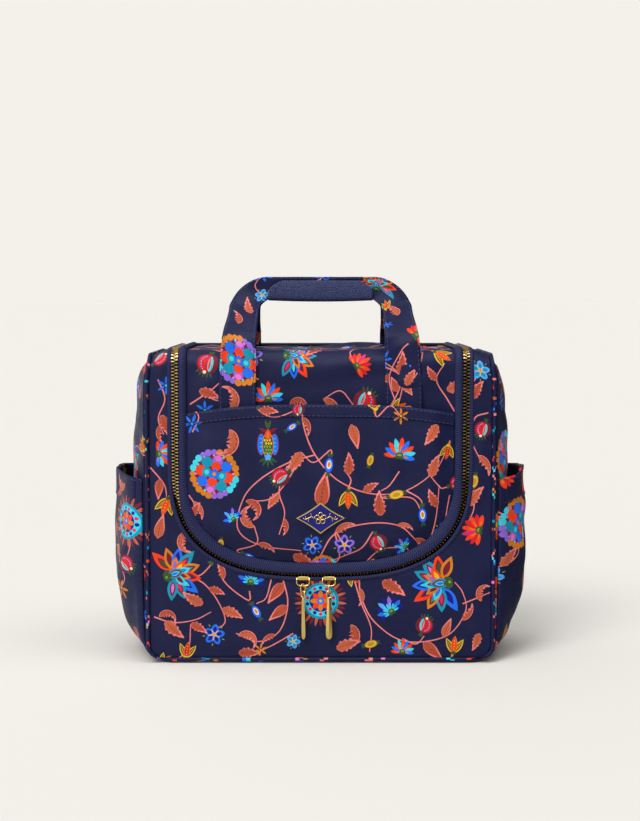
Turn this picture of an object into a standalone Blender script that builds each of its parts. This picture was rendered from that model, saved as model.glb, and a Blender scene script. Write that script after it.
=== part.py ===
"""A padded fabric toiletry bag with a zipped front lid, two carrying handles, side pockets and a hanging hook.

Metres, +Z up, +X to the right, the front faces -Y, and the origin is at the centre of the base.
The front, the rounded upper front edge and the top are one developed surface: u runs across, v runs from
the base up the front, round the edge and back along the top, and n is the distance outwards.
"""
import math

import bmesh
import bpy
from mathutils import Matrix, Vector

# Driving dimensions
HALF_WIDTH = 0.125
HALF_DEPTH = 0.0575
HEIGHT = 0.230
WALL = 0.003
GAP = 0.0003
EDGE_RADIUS = 0.012
BASE_THICKNESS = 0.003
BASE_HALF_WIDTH = 0.1215
PANEL_BASE_Z = 0.0038
CORNER_RADIUS = 0.009

ZIP_HALF_WIDTH = 0.106
ZIP_CENTRE_Z = 0.1465
ZIP_DROP = 0.0805
ZIP_POWER = 2.75
TEETH_WIDTH = 0.0027
BAND_WIDTH = 0.0056
CASE_TAPE_WIDTH = 0.0022

SIDE_BULGE = 0.0135
POCKET_BULGE = 0.0255
POCKET_BASE_Z = 0.010
POCKET_TOP_Z = 0.140
POCKET_CLOTH = 0.0022
SLIP_POCKET_TOP_Z = 0.190
SLIP_POCKET_DEPTH = 0.0062

STRAP_X = 0.0605
STRAP_WIDTH = 0.027
STRAP_THICKNESS = 0.0024
HANDLE_TOP_Z = 0.283
HANDLE_BAR_HEIGHT = 0.016
HANDLE_BAR_Y = 0.0052
GRIP_HALF_LENGTH = 0.0385

HINGE_Y = HALF_DEPTH + GAP
HINGE_Z = HEIGHT + 0.0002
FRONT_HANDLE_HINGE = (0.0, -HALF_DEPTH - 2 * GAP - STRAP_THICKNESS, 0.2170)

SLIDER_X = {"left": -0.0127, "right": 0.0062}
CHAIN_TURN = {"left": -45.0, "right": 0.0}
SLIDER_Z = 0.0632
CHAIN_STAND_OFF = 0.0056
WIRE_RADIUS = 0.00055

# The developed surface
ARC_START = HEIGHT - EDGE_RADIUS
ARC_LENGTH = math.pi * EDGE_RADIUS / 2
TOP_START = ARC_START + ARC_LENGTH
V_END = TOP_START + 2 * HALF_DEPTH - EDGE_RADIUS - GAP


def skin(u, v, n=0.0):
    """A point of the developed surface, n outside it."""
    if v <= ARC_START:
        return Vector((u, -HALF_DEPTH - n, v))
    if v < TOP_START:
        a = (v - ARC_START) / EDGE_RADIUS
        r = EDGE_RADIUS + n
        return Vector((u, -HALF_DEPTH + EDGE_RADIUS - r * math.cos(a), ARC_START + r * math.sin(a)))
    return Vector((u, -HALF_DEPTH + EDGE_RADIUS + v - TOP_START, HEIGHT + n))


def arc_stops(count=6):
    return [ARC_START + ARC_LENGTH * i / count for i in range(count + 1)]


def zip_line(offset, arcs=28):
    """The zip's U from the back of the top on the left to the back on the right, moved outwards by offset."""
    legs = [V_END, 0.5 * (V_END + TOP_START)] + arc_stops()[::-1] + [0.184]
    a, b = ZIP_HALF_WIDTH + offset, ZIP_DROP + offset
    left = [(-a, v) for v in legs]
    bend = []
    for i in range(arcs + 1):
        t = -math.pi / 2 + math.pi * i / arcs
        s = math.sin(t)
        u = math.copysign(abs(s) ** (2 / ZIP_POWER), s) * a
        bend.append((u, ZIP_CENTRE_Z - b * max(math.cos(t), 0.0) ** (2 / ZIP_POWER)))
    return left + bend + [(a, v) for v in legs[::-1]]


def edge_x(z):
    """Half the width of the front and back panels at height z, with their lower corners rounded."""
    drop = min(CORNER_RADIUS, max(0.0, PANEL_BASE_Z + CORNER_RADIUS - z))
    return HALF_WIDTH - CORNER_RADIUS + math.sqrt(CORNER_RADIUS ** 2 - drop ** 2)


def side_swell(y, z):
    """How far the side gusset stands out at y, z."""
    across = max(0.0, 1 - abs(y / HALF_DEPTH) ** 2.2)
    t = min(1.0, max(0.0, z / HEIGHT))
    return SIDE_BULGE * across * min(1.0, 4.2 * t * (1 - t)) ** 0.45


def pocket_swell(y, z):
    """How far the side pocket stands out at y, z: fullest low down, closing in to the gusset at its seams."""
    across = max(0.0, 1 - abs(y / HALF_DEPTH) ** 2.6)
    t = min(1.0, max(0.0, (z - POCKET_BASE_Z) / (POCKET_TOP_Z - POCKET_BASE_Z)))
    upper = 1 - 0.12 * max(0.0, (t - 0.5) / 0.5) ** 1.6
    lower = min(1.0, t / 0.5)
    return POCKET_BULGE * across * upper * (lower * (2 - lower)) ** 0.5


# Scene helpers
for old in list(bpy.data.objects):
    bpy.data.objects.remove(old, do_unlink=True)

bag = bpy.data.collections.new("hanging_toiletry_bag")
cutters = bpy.data.collections.new("cutters")
bpy.context.scene.collection.children.link(bag)
bpy.context.scene.collection.children.link(cutters)
cutters.hide_render = True

COLOURS = {
    "fabric": ((0.020, 0.022, 0.075, 1), 0.85, 0.0),
    "tape": ((0.012, 0.014, 0.050, 1), 0.80, 0.0),
    "lining": ((0.10, 0.13, 0.30, 1), 0.85, 0.0),
    "leather": ((0.030, 0.042, 0.120, 1), 0.45, 0.0),
    "gold": ((0.83, 0.66, 0.36, 1), 0.25, 1.0),
    "brass": ((0.40, 0.28, 0.12, 1), 0.35, 1.0),
    "enamel": ((0.015, 0.025, 0.35, 1), 0.15, 0.0),
    "plastic": ((0.02, 0.02, 0.03, 1), 0.40, 0.0),
    "board": ((0.05, 0.05, 0.06, 1), 0.70, 0.0),
}


def material(name, look):
    colour, roughness, metallic = COLOURS[look]
    made = bpy.data.materials.new(name)
    made.use_nodes = True
    shader = made.node_tree.nodes["Principled BSDF"]
    shader.inputs["Base Color"].default_value = colour
    shader.inputs["Roughness"].default_value = roughness
    shader.inputs["Metallic"].default_value = metallic
    made.diffuse_color = colour
    return made


def add(name, mesh, look, parent=None):
    obj = bpy.data.objects.new(name, mesh)
    mesh.materials.append(material(name + "_material", look))
    bag.objects.link(obj)
    if parent:
        obj.parent = parent
        obj.matrix_parent_inverse = Matrix.Translation(parent.location).inverted()
    return obj


def axis_empty(name, place, parent=None):
    empty = bpy.data.objects.new(name, None)
    empty.empty_display_size = 0.02
    empty.location = place
    bag.objects.link(empty)
    if parent:
        empty.parent = parent
        empty.matrix_parent_inverse = Matrix.Translation(parent.location).inverted()
    return empty


def mesh_from(name, points, faces):
    mesh = bpy.data.meshes.new(name)
    mesh.from_pydata([tuple(p) for p in points], [], faces)
    mesh.validate()
    return mesh


def grid(name, rows, look, thickness, parent=None, closed=False, offset=1.0):
    """A sheet lofted through rows of points, given its thickness by Solidify on the side its normals face."""
    across = len(rows[0])
    points = [p for row in rows for p in row]
    faces = []
    for r in range(len(rows) - (0 if closed else 1)):
        for c in range(across - 1):
            a, b = r * across + c, ((r + 1) % len(rows)) * across + c
            faces.append((a, a + 1, b + 1, b))
    obj = add(name, mesh_from(name, points, faces), look, parent)
    solid = obj.modifiers.new("thickness", "SOLIDIFY")
    solid.thickness = thickness
    solid.offset = offset
    solid.use_even_offset = True
    return obj


def box(name, low, high, look, parent=None, bevel=0.0):
    made = bmesh.new()
    bmesh.ops.create_cube(made, size=1)
    size = [h - l for l, h in zip(low, high)]
    middle = [(h + l) / 2 for l, h in zip(low, high)]
    bmesh.ops.scale(made, vec=size, verts=made.verts)
    bmesh.ops.translate(made, vec=middle, verts=made.verts)
    mesh = bpy.data.meshes.new(name)
    made.to_mesh(mesh)
    made.free()
    obj = add(name, mesh, look, parent)
    if bevel:
        edge = obj.modifiers.new("bevel", "BEVEL")
        edge.width = bevel
        edge.segments = 2
    return obj


def tube(name, points, radius, look, parent=None, closed=False, sides=2):
    """A bevelled curve with filled caps, made into a welded mesh."""
    curve = bpy.data.curves.new(name, "CURVE")
    curve.dimensions = "3D"
    curve.bevel_depth = radius
    curve.bevel_resolution = sides
    curve.use_fill_caps = not closed
    line = curve.splines.new("POLY")
    line.points.add(len(points) - 1)
    for point, place in zip(line.points, points):
        point.co = (*place, 1)
    line.use_cyclic_u = closed
    shape = bpy.data.objects.new(name + "_curve", curve)
    bpy.context.scene.collection.objects.link(shape)
    bpy.context.view_layer.update()
    mesh = bpy.data.meshes.new_from_object(shape.evaluated_get(bpy.context.evaluated_depsgraph_get()))
    mesh.name = name
    bpy.data.objects.remove(shape, do_unlink=True)
    made = bmesh.new()
    made.from_mesh(mesh)
    bmesh.ops.remove_doubles(made, verts=made.verts, dist=1e-6)
    bmesh.ops.recalc_face_normals(made, faces=made.faces)
    made.to_mesh(mesh)
    made.free()
    mesh.materials.clear()
    return add(name, mesh, look, parent)


def plate(name, outline, look, low, high, parent=None, bevel=0.0):
    """A flat plate in the XZ plane, from its outline, between y = low (front) and y = high (back)."""
    count = len(outline)
    points = [(x, low, z) for x, z in outline] + [(x, high, z) for x, z in outline]
    faces = [tuple(range(count)), tuple(range(2 * count - 1, count - 1, -1))]
    faces += [(i, i + count, (i + 1) % count + count, (i + 1) % count) for i in range(count)]
    mesh = mesh_from(name, points, faces)
    made = bmesh.new()
    made.from_mesh(mesh)
    bmesh.ops.recalc_face_normals(made, faces=made.faces)
    made.to_mesh(mesh)
    made.free()
    obj = add(name, mesh, look, parent)
    if bevel:
        edge = obj.modifiers.new("bevel", "BEVEL")
        edge.width = bevel
        edge.segments = 2
    return obj


def side_name(sign):
    return "left" if sign < 0 else "right"


# Axis empties
lid_axis = axis_empty("lid_axis", (0, HINGE_Y, HINGE_Z))
rear_handle_axis = axis_empty("rear_handle_axis", (0, HINGE_Y, HINGE_Z))
front_handle_axis = axis_empty("front_handle_axis", FRONT_HANDLE_HINGE, lid_axis)
HOOK_PIVOT = (0.0, 0.0400, 0.2170)
hook_axis = axis_empty("hook_axis", HOOK_PIVOT, lid_axis)


# Case: base, back, gussets, front frame
def base_outline(inset, z, corner=0.010, steps=4):
    a, b = BASE_HALF_WIDTH - inset, HALF_DEPTH - inset
    found = []
    for quarter, (sx, sy) in enumerate(((1, 1), (-1, 1), (-1, -1), (1, -1))):
        for i in range(steps + 1):
            t = math.pi / 2 * (quarter + i / steps)
            found.append((sx * (a - corner) + corner * math.cos(t), sy * (b - corner) + corner * math.sin(t), z))
    return found


def flat_slab(name, outline, thickness, look):
    mesh = mesh_from(name, outline, [tuple(range(len(outline)))])
    obj = add(name, mesh, look)
    solid = obj.modifiers.new("thickness", "SOLIDIFY")
    solid.thickness = thickness
    solid.offset = 1.0
    return obj


flat_slab("bottom_panel", base_outline(0.0035, 0.0), BASE_THICKNESS, "fabric")
flat_slab("base_board", base_outline(0.0060, BASE_THICKNESS + GAP, 0.008), 0.0020, "board")
tube("base_binding", base_outline(0.0016, 0.0021, 0.0115, 5), 0.0014, "tape", closed=True)

BACK_TOP_Z = HEIGHT - WALL - 0.0004
outline = [(-HALF_WIDTH, BACK_TOP_Z)]
for i in range(6):
    z = PANEL_BASE_Z + CORNER_RADIUS * (1 - math.sin(math.pi / 2 * i / 5))
    outline.append((-edge_x(z), z))
outline += [(-x, z) for x, z in outline[::-1]]
plate("back_panel", outline, "fabric", HALF_DEPTH - WALL, HALF_DEPTH)

FRAME_EDGE = 0.0002 + TEETH_WIDTH + GAP
inner = zip_line(FRAME_EDGE)


def frame_outer(u, v, index, count):
    """The point of the frame's outer edge that faces a point of its inner edge."""
    if v > ZIP_CENTRE_Z:
        return (math.copysign(HALF_WIDTH, u), v)
    a, b = abs(u) / (ZIP_HALF_WIDTH + FRAME_EDGE), (ZIP_CENTRE_Z - v) / (ZIP_DROP + FRAME_EDGE)
    scale = 1 / max(a, b)
    drop = ZIP_CENTRE_Z - PANEL_BASE_Z
    return (math.copysign(HALF_WIDTH * min(a * scale, 1), u), ZIP_CENTRE_Z - drop * min(b * scale, 1))


def bottom_corner(u, v):
    """Rounds off the lower corners of the front panel."""
    dx, dz = abs(u) - (HALF_WIDTH - CORNER_RADIUS), PANEL_BASE_Z + CORNER_RADIUS - v
    if dx <= 0 or dz <= 0:
        return (u, v)
    k = max(dx, dz) / math.hypot(dx, dz)
    return (math.copysign(HALF_WIDTH - CORNER_RADIUS + dx * k, u), PANEL_BASE_Z + CORNER_RADIUS - dz * k)


rows = []
for share in (0.0, 0.33, 0.66, 1.0):
    row = []
    for i, (u, v) in enumerate(inner):
        ou, ov = frame_outer(u, v, i, len(inner))
        ou, ov = bottom_corner(ou, ov)
        row.append(skin(u + (ou - u) * share, v + (ov - v) * share, -WALL))
    rows.append(row)
grid("front_frame", rows[::-1], "fabric", WALL)

SIDE_ROWS = [0.0075, 0.0105, 0.014, 0.025, 0.045, 0.070, 0.100, 0.134, 0.164,
             0.194, 0.209, 0.218, 0.2225, 0.2255, 0.2276]
SIDE_COLS = 10


def side_front(z):
    """The front edge of a gusset, 2 mm behind the front seam and round the upper corner."""
    inside = EDGE_RADIUS - 0.0020
    rise = min(max(0.0, z - ARC_START), inside)
    return -HALF_DEPTH + EDGE_RADIUS - math.sqrt(inside ** 2 - rise ** 2)


def moved_out(rows, distance):
    """The rows of a sheet, each point moved along the sheet's normal there."""
    across = len(rows[0])
    made = bmesh.new()
    corners = [made.verts.new(p) for row in rows for p in row]
    for r in range(len(rows) - 1):
        for c in range(across - 1):
            a, b = r * across + c, (r + 1) * across + c
            made.faces.new([corners[i] for i in (a, a + 1, b + 1, b)])
    made.normal_update()
    moved = [tuple(v.co + v.normal * distance) for v in corners]
    made.free()
    return [moved[r * across:(r + 1) * across] for r in range(len(rows))]


for sign in (-1, 1):
    rows = []
    for z in SIDE_ROWS:
        row = []
        for c in range(SIDE_COLS + 1):
            y = side_front(z) + (HALF_DEPTH - 0.0020 - side_front(z)) * c / SIDE_COLS
            row.append((sign * (edge_x(z) + GAP + side_swell(y, z)), y, z))
        rows.append(row if sign > 0 else row[::-1])
    grid("side_panel_" + side_name(sign), rows, "fabric", WALL)

    rows = []
    for t in (0.0, 0.07, 0.16, 0.28, 0.42, 0.56, 0.70, 0.84, 0.92, 1.0):
        row = []
        for c in range(SIDE_COLS + 3):
            y = -0.0550 + 0.1110 * c / (SIDE_COLS + 2)
            top = POCKET_TOP_Z - 0.005 * abs(y / HALF_DEPTH) ** 1.5
            z = POCKET_BASE_Z + (top - POCKET_BASE_Z) * t
            base = HALF_WIDTH + GAP + WALL + GAP
            row.append((sign * (base + max(side_swell(y, z) + 0.0003, pocket_swell(y, z))), y, z))
        rows.append(row if sign > 0 else row[::-1])
    grid("side_pocket_" + side_name(sign), rows, "fabric", POCKET_CLOTH)
    hem = moved_out(rows, POCKET_CLOTH + 2 * GAP)[-3:]
    grid("side_pocket_hem_" + side_name(sign), [row[1:-1] for row in hem], "fabric", 0.0008)

    line = [skin(sign * (HALF_WIDTH + 0.0018), v, 0.0006) for v in [0.014, 0.08, 0.15] + arc_stops(5) + [V_END]]
    tube("front_piping_" + side_name(sign), line, 0.0015, "tape")
    line = [(sign * (HALF_WIDTH + 0.0018), HALF_DEPTH + 0.0006, z) for z in (0.014, 0.12, 0.226)]
    tube("rear_piping_" + side_name(sign), line, 0.0015, "tape")

rows = []
for z in (0.0145, 0.04, 0.08, 0.12, 0.16, 0.19, 0.223):
    row = []
    for y in (-0.0500, -0.040, -0.026, -0.010, 0.006, 0.022, 0.036, 0.046, 0.0534):
        row.append((-(HALF_WIDTH + GAP - 0.0007 + side_swell(y, z)), y, z))
    row += [(x * HALF_WIDTH, 0.0534, z) for x in (-0.9, -0.45, 0.0, 0.45, 0.9)]
    for y in (0.0534, 0.046, 0.036, 0.022, 0.006, -0.010, -0.026, -0.040, -0.0500):
        row.append((HALF_WIDTH + GAP - 0.0007 + side_swell(y, z), y, z))
    rows.append(row)
grid("case_lining", rows, "lining", 0.0006, offset=1.0)


def ribbon(name, low, high, n_low, thickness, look, parent=None):
    """A ribbon of the developed surface that follows the zip, between two distances from its centre line."""
    rows = [[skin(u, v, n_low) for u, v in zip_line(d)] for d in (low, high)]
    return grid(name, rows[::-1], look, thickness, parent)


LID_EDGE = -0.0002 - TEETH_WIDTH - GAP
ribbon("case_zip_teeth", 0.0002, 0.0002 + TEETH_WIDTH, -0.0010, 0.0022, "brass")
ribbon("case_zip_tape", FRAME_EDGE + 0.0002, FRAME_EDGE + CASE_TAPE_WIDTH, GAP, 0.0008, "tape")
ribbon("lid_zip_teeth", -0.0002 - TEETH_WIDTH, -0.0002, -0.0010, 0.0022, "brass", lid_axis)
ribbon("lid_zip_tape", LID_EDGE - BAND_WIDTH, LID_EDGE + 0.0002 - GAP, GAP, 0.0012, "tape", lid_axis)


# Lid: one bent panel inside the zip's U, its lining, its slip pocket and its emblem
def lid_rows(edge, n, top=V_END, arcs=20):
    """Rows of points that fill the inside of the zip's U, edge outside its centre line."""
    a, b = ZIP_HALF_WIDTH + edge, ZIP_DROP + edge
    columns = []
    for i in range(arcs + 1):
        t = -math.pi / 2 + math.pi * i / arcs
        s = math.sin(t)
        u = math.copysign(abs(s) ** (2 / ZIP_POWER), s) * a
        low = ZIP_CENTRE_Z - b * max(math.cos(t), 0.0) ** (2 / ZIP_POWER)
        stops = [low, low + (0.184 - low) * 0.5, 0.184] + arc_stops() + [0.5 * (top + TOP_START), top]
        columns.append([skin(u, v, n) for v in stops])
    return [list(row) for row in zip(*columns)]


grid("lid_panel", lid_rows(LID_EDGE, -WALL), "fabric", WALL, lid_axis)
grid("lid_lining", lid_rows(LID_EDGE - 0.0015, -WALL - GAP - 0.0006, V_END - 0.004), "lining", 0.0006, lid_axis)


def slip_edge(u):
    """The gently arched mouth of the front slip pocket."""
    return SLIP_POCKET_TOP_Z - 0.0065 * abs(u / 0.096) ** 3.0


def slip_pocket_rows(shares, extra):
    """The slip pocket's inner surface at these shares of its height, moved out by extra."""
    a, b = ZIP_HALF_WIDTH + LID_EDGE - BAND_WIDTH - 0.0006, ZIP_DROP + LID_EDGE - BAND_WIDTH - 0.0006
    columns = []
    for i in range(19):
        t = -math.pi / 2 + math.pi * i / 18
        s = math.sin(t)
        u = math.copysign(abs(s) ** (2 / ZIP_POWER), s) * a
        low = ZIP_CENTRE_Z - b * max(math.cos(t), 0.0) ** (2 / ZIP_POWER)
        top = slip_edge(u)
        column = []
        for share in shares:
            v = low + (top - low) * share
            swell = min(1.0, 3.2 * (1 - abs(u / a))) * min(1.0, 4.0 * share)
            column.append(skin(u, v, GAP + SLIP_POCKET_DEPTH * swell + extra))
        columns.append(column)
    return [list(row) for row in zip(*columns)]


grid("front_pocket", slip_pocket_rows((0.0, 0.10, 0.25, 0.5, 0.75, 1.0), 0.0), "fabric", 0.0016, lid_axis)
hem_rows = slip_pocket_rows((0.93, 0.965, 1.0), 0.0016 + GAP)
grid("front_pocket_hem", [row[1:-1] for row in hem_rows], "fabric", 0.0008, lid_axis)

EMBLEM = (0.0, 0.1080)
EMBLEM_N = GAP + SLIP_POCKET_DEPTH + 0.0016 + GAP


def diamond(half_x, half_z):
    """A four-sided outline with slightly hollow sides."""
    corners = [(half_x, 0), (0, half_z), (-half_x, 0), (0, -half_z)]
    return [(EMBLEM[0] + x, EMBLEM[1] + z) for x, z in corners]


front = -HALF_DEPTH
plate("emblem_plate", diamond(0.0178, 0.0115), "gold", front - EMBLEM_N - 0.0014, front - EMBLEM_N, lid_axis, 0.0003)
plate("emblem_enamel", diamond(0.0155, 0.0098), "enamel", front - EMBLEM_N - 0.0023, front - EMBLEM_N - 0.0017,
      lid_axis, 0.0002)

# Straps: sewn ends, and the two arched handles on their own axes
STRAP_END_TOP = 0.2166
for sign in (-1, 1):
    low_x, high_x = sorted((sign * (STRAP_X - STRAP_WIDTH / 2), sign * (STRAP_X + STRAP_WIDTH / 2)))
    box("front_strap_end_" + side_name(sign), (low_x, front - GAP - STRAP_THICKNESS, 0.1700),
        (high_x, front - GAP, STRAP_END_TOP), "fabric", lid_axis)
    box("rear_strap_end_" + side_name(sign), (low_x, HALF_DEPTH + GAP, 0.169),
        (high_x, HALF_DEPTH + GAP + STRAP_THICKNESS, HEIGHT - 0.0040), "fabric")


def smooth_profile(y_start, z_start, y_bar, steps=8):
    """The side view of a handle: up from its seam, leaning over the lid, and upright again at the bar."""
    z_knee, z_bar = 0.237, HANDLE_TOP_Z - HANDLE_BAR_HEIGHT
    found = [(y_start, z_start)]
    for i in range(steps + 1):
        t = i / steps
        ease = t * t * (3 - 2 * t)
        found.append((y_start + (y_bar - y_start) * ease, z_knee + (z_bar - z_knee) * t))
    found.append((y_bar, HANDLE_TOP_Z))
    return found


def handle(name, y_start, z_start, y_bar, parent):
    profile = smooth_profile(y_start, z_start, y_bar)
    lengths = [0.0]
    for (y0, z0), (y1, z1) in zip(profile, profile[1:]):
        lengths.append(lengths[-1] + math.hypot(y1 - y0, z1 - z0))
    total = lengths[-1]

    def lift(x, w):
        k = max(i for i in range(len(lengths) - 1) if lengths[i] <= w + 1e-9)
        f = (w - lengths[k]) / (lengths[k + 1] - lengths[k])
        (y0, z0), (y1, z1) = profile[k], profile[k + 1]
        return (x, y0 + (y1 - y0) * f, z0 + (z1 - z0) * f)

    def edge(half, reach, top, power=2.2, turns=9):
        legs = [w for w in lengths if w < top - reach - 0.002]
        found = [(-half, w) for w in legs]
        for i in range(turns + 1):
            t = math.pi / 2 * i / turns
            inwards, upwards = 1 - math.cos(t) ** (2 / power), math.sin(t) ** (2 / power)
            found.append((-half + reach * inwards, top - reach + reach * upwards))
        return found

    outer = edge(STRAP_X + STRAP_WIDTH / 2, 0.030, total)
    inside = edge(STRAP_X - STRAP_WIDTH / 2, 0.012, total - HANDLE_BAR_HEIGHT + 0.0008)

    def even(line, count):
        """The same line through evenly spaced points, its ends kept."""
        walked = [0.0]
        for (x0, w0), (x1, w1) in zip(line, line[1:]):
            walked.append(walked[-1] + math.hypot(x1 - x0, w1 - w0))
        found = []
        for i in range(count):
            d = walked[-1] * i / (count - 1)
            k = max(j for j in range(len(walked) - 1) if walked[j] <= d + 1e-12)
            f = min(1.0, (d - walked[k]) / (walked[k + 1] - walked[k]))
            (x0, w0), (x1, w1) = line[k], line[k + 1]
            found.append((x0 + (x1 - x0) * f, w0 + (w1 - w0) * f))
        return found

    outer, inside = even(outer, 22), even(inside, 22)
    outer += [(x * f, total) for x in (outer[-1][0],) for f in (0.5, 0.0)]
    inside += [(x * f, total - HANDLE_BAR_HEIGHT + 0.0008) for x in (inside[-1][0],) for f in (0.5, 0.0)]
    outer += [(-x, w) for x, w in outer[-2::-1]]
    inside += [(-x, w) for x, w in inside[-2::-1]]
    rows = []
    for share in (0.0, 0.5, 1.0):
        rows.append([lift(a[0] + (b[0] - a[0]) * share, a[1] + (b[1] - a[1]) * share) for a, b in zip(outer, inside)])
    return grid(name, rows, "fabric", STRAP_THICKNESS, parent, offset=0.0)


handle("front_handle_strap", front - GAP - STRAP_THICKNESS / 2, FRONT_HANDLE_HINGE[2] + 0.0004, -HANDLE_BAR_Y,
       front_handle_axis)
handle("rear_handle_strap", HALF_DEPTH - 0.0048, HEIGHT + 0.0006, HANDLE_BAR_Y, rear_handle_axis)


# The leather wrap around the front handle's bar: a flat sleeve with rounded upper corners
def sleeve(name, half, low, high, wall, look, parent):
    rows = []
    for i in range(3):
        s = i - 1
        top, x = high, half * s
        y0 = -HANDLE_BAR_Y
        d = STRAP_THICKNESS / 2 + GAP
        ring = [(x, y0 - d, low), (x, y0 - d, (low + top) / 2), (x, y0 - d, top), (x, y0 + d, top),
                (x, y0 + d, (low + top) / 2), (x, y0 + d, low)]
        rows.append(ring)
    points = [p for row in rows for p in row]
    faces = []
    for r in range(len(rows) - 1):
        for c in range(6):
            a, b = r * 6 + c, r * 6 + (c + 1) % 6
            faces.append((a, a + 6, b + 6, b))
    obj = add(name, mesh_from(name, points, faces), look, parent)
    solid = obj.modifiers.new("thickness", "SOLIDIFY")
    solid.thickness = wall
    solid.offset = 1.0
    solid.use_even_offset = True
    return obj


GRIP_LOW = HANDLE_TOP_Z - HANDLE_BAR_HEIGHT - GAP
sleeve("grip_wrap", GRIP_HALF_LENGTH, GRIP_LOW, HANDLE_TOP_Z + GAP, 0.0013, "leather", front_handle_axis)

# Inside: a gathered mesh pocket on the back, and the hook on its webbing tab
rows = []
for z, out in ((0.020, 0.0), (0.030, 0.45), (0.060, 1.0), (0.100, 1.0), (0.1195, 0.95)):
    rows.append([(x * 0.112, 0.0526 - 0.0075 * out * min(1.0, 2.5 * (1 - abs(x))) - 0.0004, z)
                 for x in (-1.0, -0.96, -0.85, -0.6, -0.3, 0.0, 0.3, 0.6, 0.85, 0.96, 1.0)])
grid("mesh_pocket", rows, "lining", 0.0008)
line = [(x * 0.110, 0.0523 - 0.0071 * min(1.0, 2.5 * (1 - abs(x))) - 0.0008, 0.1212)
        for x in (-1.0, -0.96, -0.85, -0.6, -0.3, 0.0, 0.3, 0.6, 0.85, 0.96, 1.0)]
tube("mesh_pocket_elastic", line, 0.0011, "tape")

LID_UNDER = HEIGHT - WALL - GAP - 0.0006 - GAP
TAB_HALF_DEPTH = 0.0026
profile = [(TAB_HALF_DEPTH, LID_UNDER)]
for i in range(7):
    t = -math.pi * i / 6
    profile.append((TAB_HALF_DEPTH * math.cos(t), HOOK_PIVOT[2] + TAB_HALF_DEPTH * math.sin(t)))
profile.append((-TAB_HALF_DEPTH, LID_UNDER))
rows = [[(x, HOOK_PIVOT[1] + y, z) for y, z in profile] for x in (-0.006, 0.006)]
grid("hook_tab", rows[::-1], "tape", 0.0006, lid_axis)

HOOK_RADIUS = 0.0018
LOOP_HALF = 0.0095
loop = [(x, HOOK_PIVOT[1], HOOK_PIVOT[2] - drop) for x, drop in
        ((-LOOP_HALF, 0.0), (LOOP_HALF, 0.0), (LOOP_HALF, 0.004), (0.0022, 0.0125), (-0.0022, 0.0125),
         (-LOOP_HALF, 0.004))]
ring = tube("hanging_hook", loop, HOOK_RADIUS, "plastic", hook_axis, closed=True)
line = [(0.0, HOOK_PIVOT[1], HOOK_PIVOT[2] - 0.0125), (0.0, HOOK_PIVOT[1], 0.1920)]
for i in range(13):
    t = math.radians(90 - 22.5 * i)
    line.append((0.0150 * math.cos(t), HOOK_PIVOT[1], 0.1750 + 0.0150 * math.sin(t)))
stem = tube("hook_stem", line, HOOK_RADIUS, "plastic")
bag.objects.unlink(stem)
cutters.objects.link(stem)
stem.hide_render = True
stem.display_type = "WIRE"
joined = ring.modifiers.new("stem", "BOOLEAN")
joined.operation = "UNION"
joined.solver = "EXACT"
joined.object = stem


# Sliders, each with its D-loop, link ring and faceted puller
def stadium(half_wide, half_tall, turns=6):
    """A closed upright ring: two straight sides and two half circles, as (across, up) pairs."""
    straight = half_tall - half_wide
    found = []
    for i in range(turns + 1):
        t = math.pi * i / turns
        found.append((half_wide * math.cos(t), straight + half_wide * math.sin(t)))
    for i in range(turns + 1):
        t = math.pi + math.pi * i / turns
        found.append((half_wide * math.cos(t), -straight + half_wide * math.sin(t)))
    return found


SLIDER_SIZE = (0.0092, 0.0032, 0.0028)
LOOP_HALF_WIDTH = 0.0046
LOOP_LOW_Z = SLIDER_Z - 0.0053
LINK_HALF_WIDTH = 0.0023
LINK_TOP_Z = LOOP_LOW_Z + 2 * WIRE_RADIUS + GAP
LINK_LOW_Z = LINK_TOP_Z - 0.0069
EYE_TOP_Z = LINK_LOW_Z + 2 * WIRE_RADIUS + 2 * GAP
EYE_HALF_WIDTH = 0.0018
EYE_LOW_Z = EYE_TOP_Z - 0.0050
PULL_LOW_Z = 0.0186
chain_y = -HALF_DEPTH - CHAIN_STAND_OFF

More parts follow.
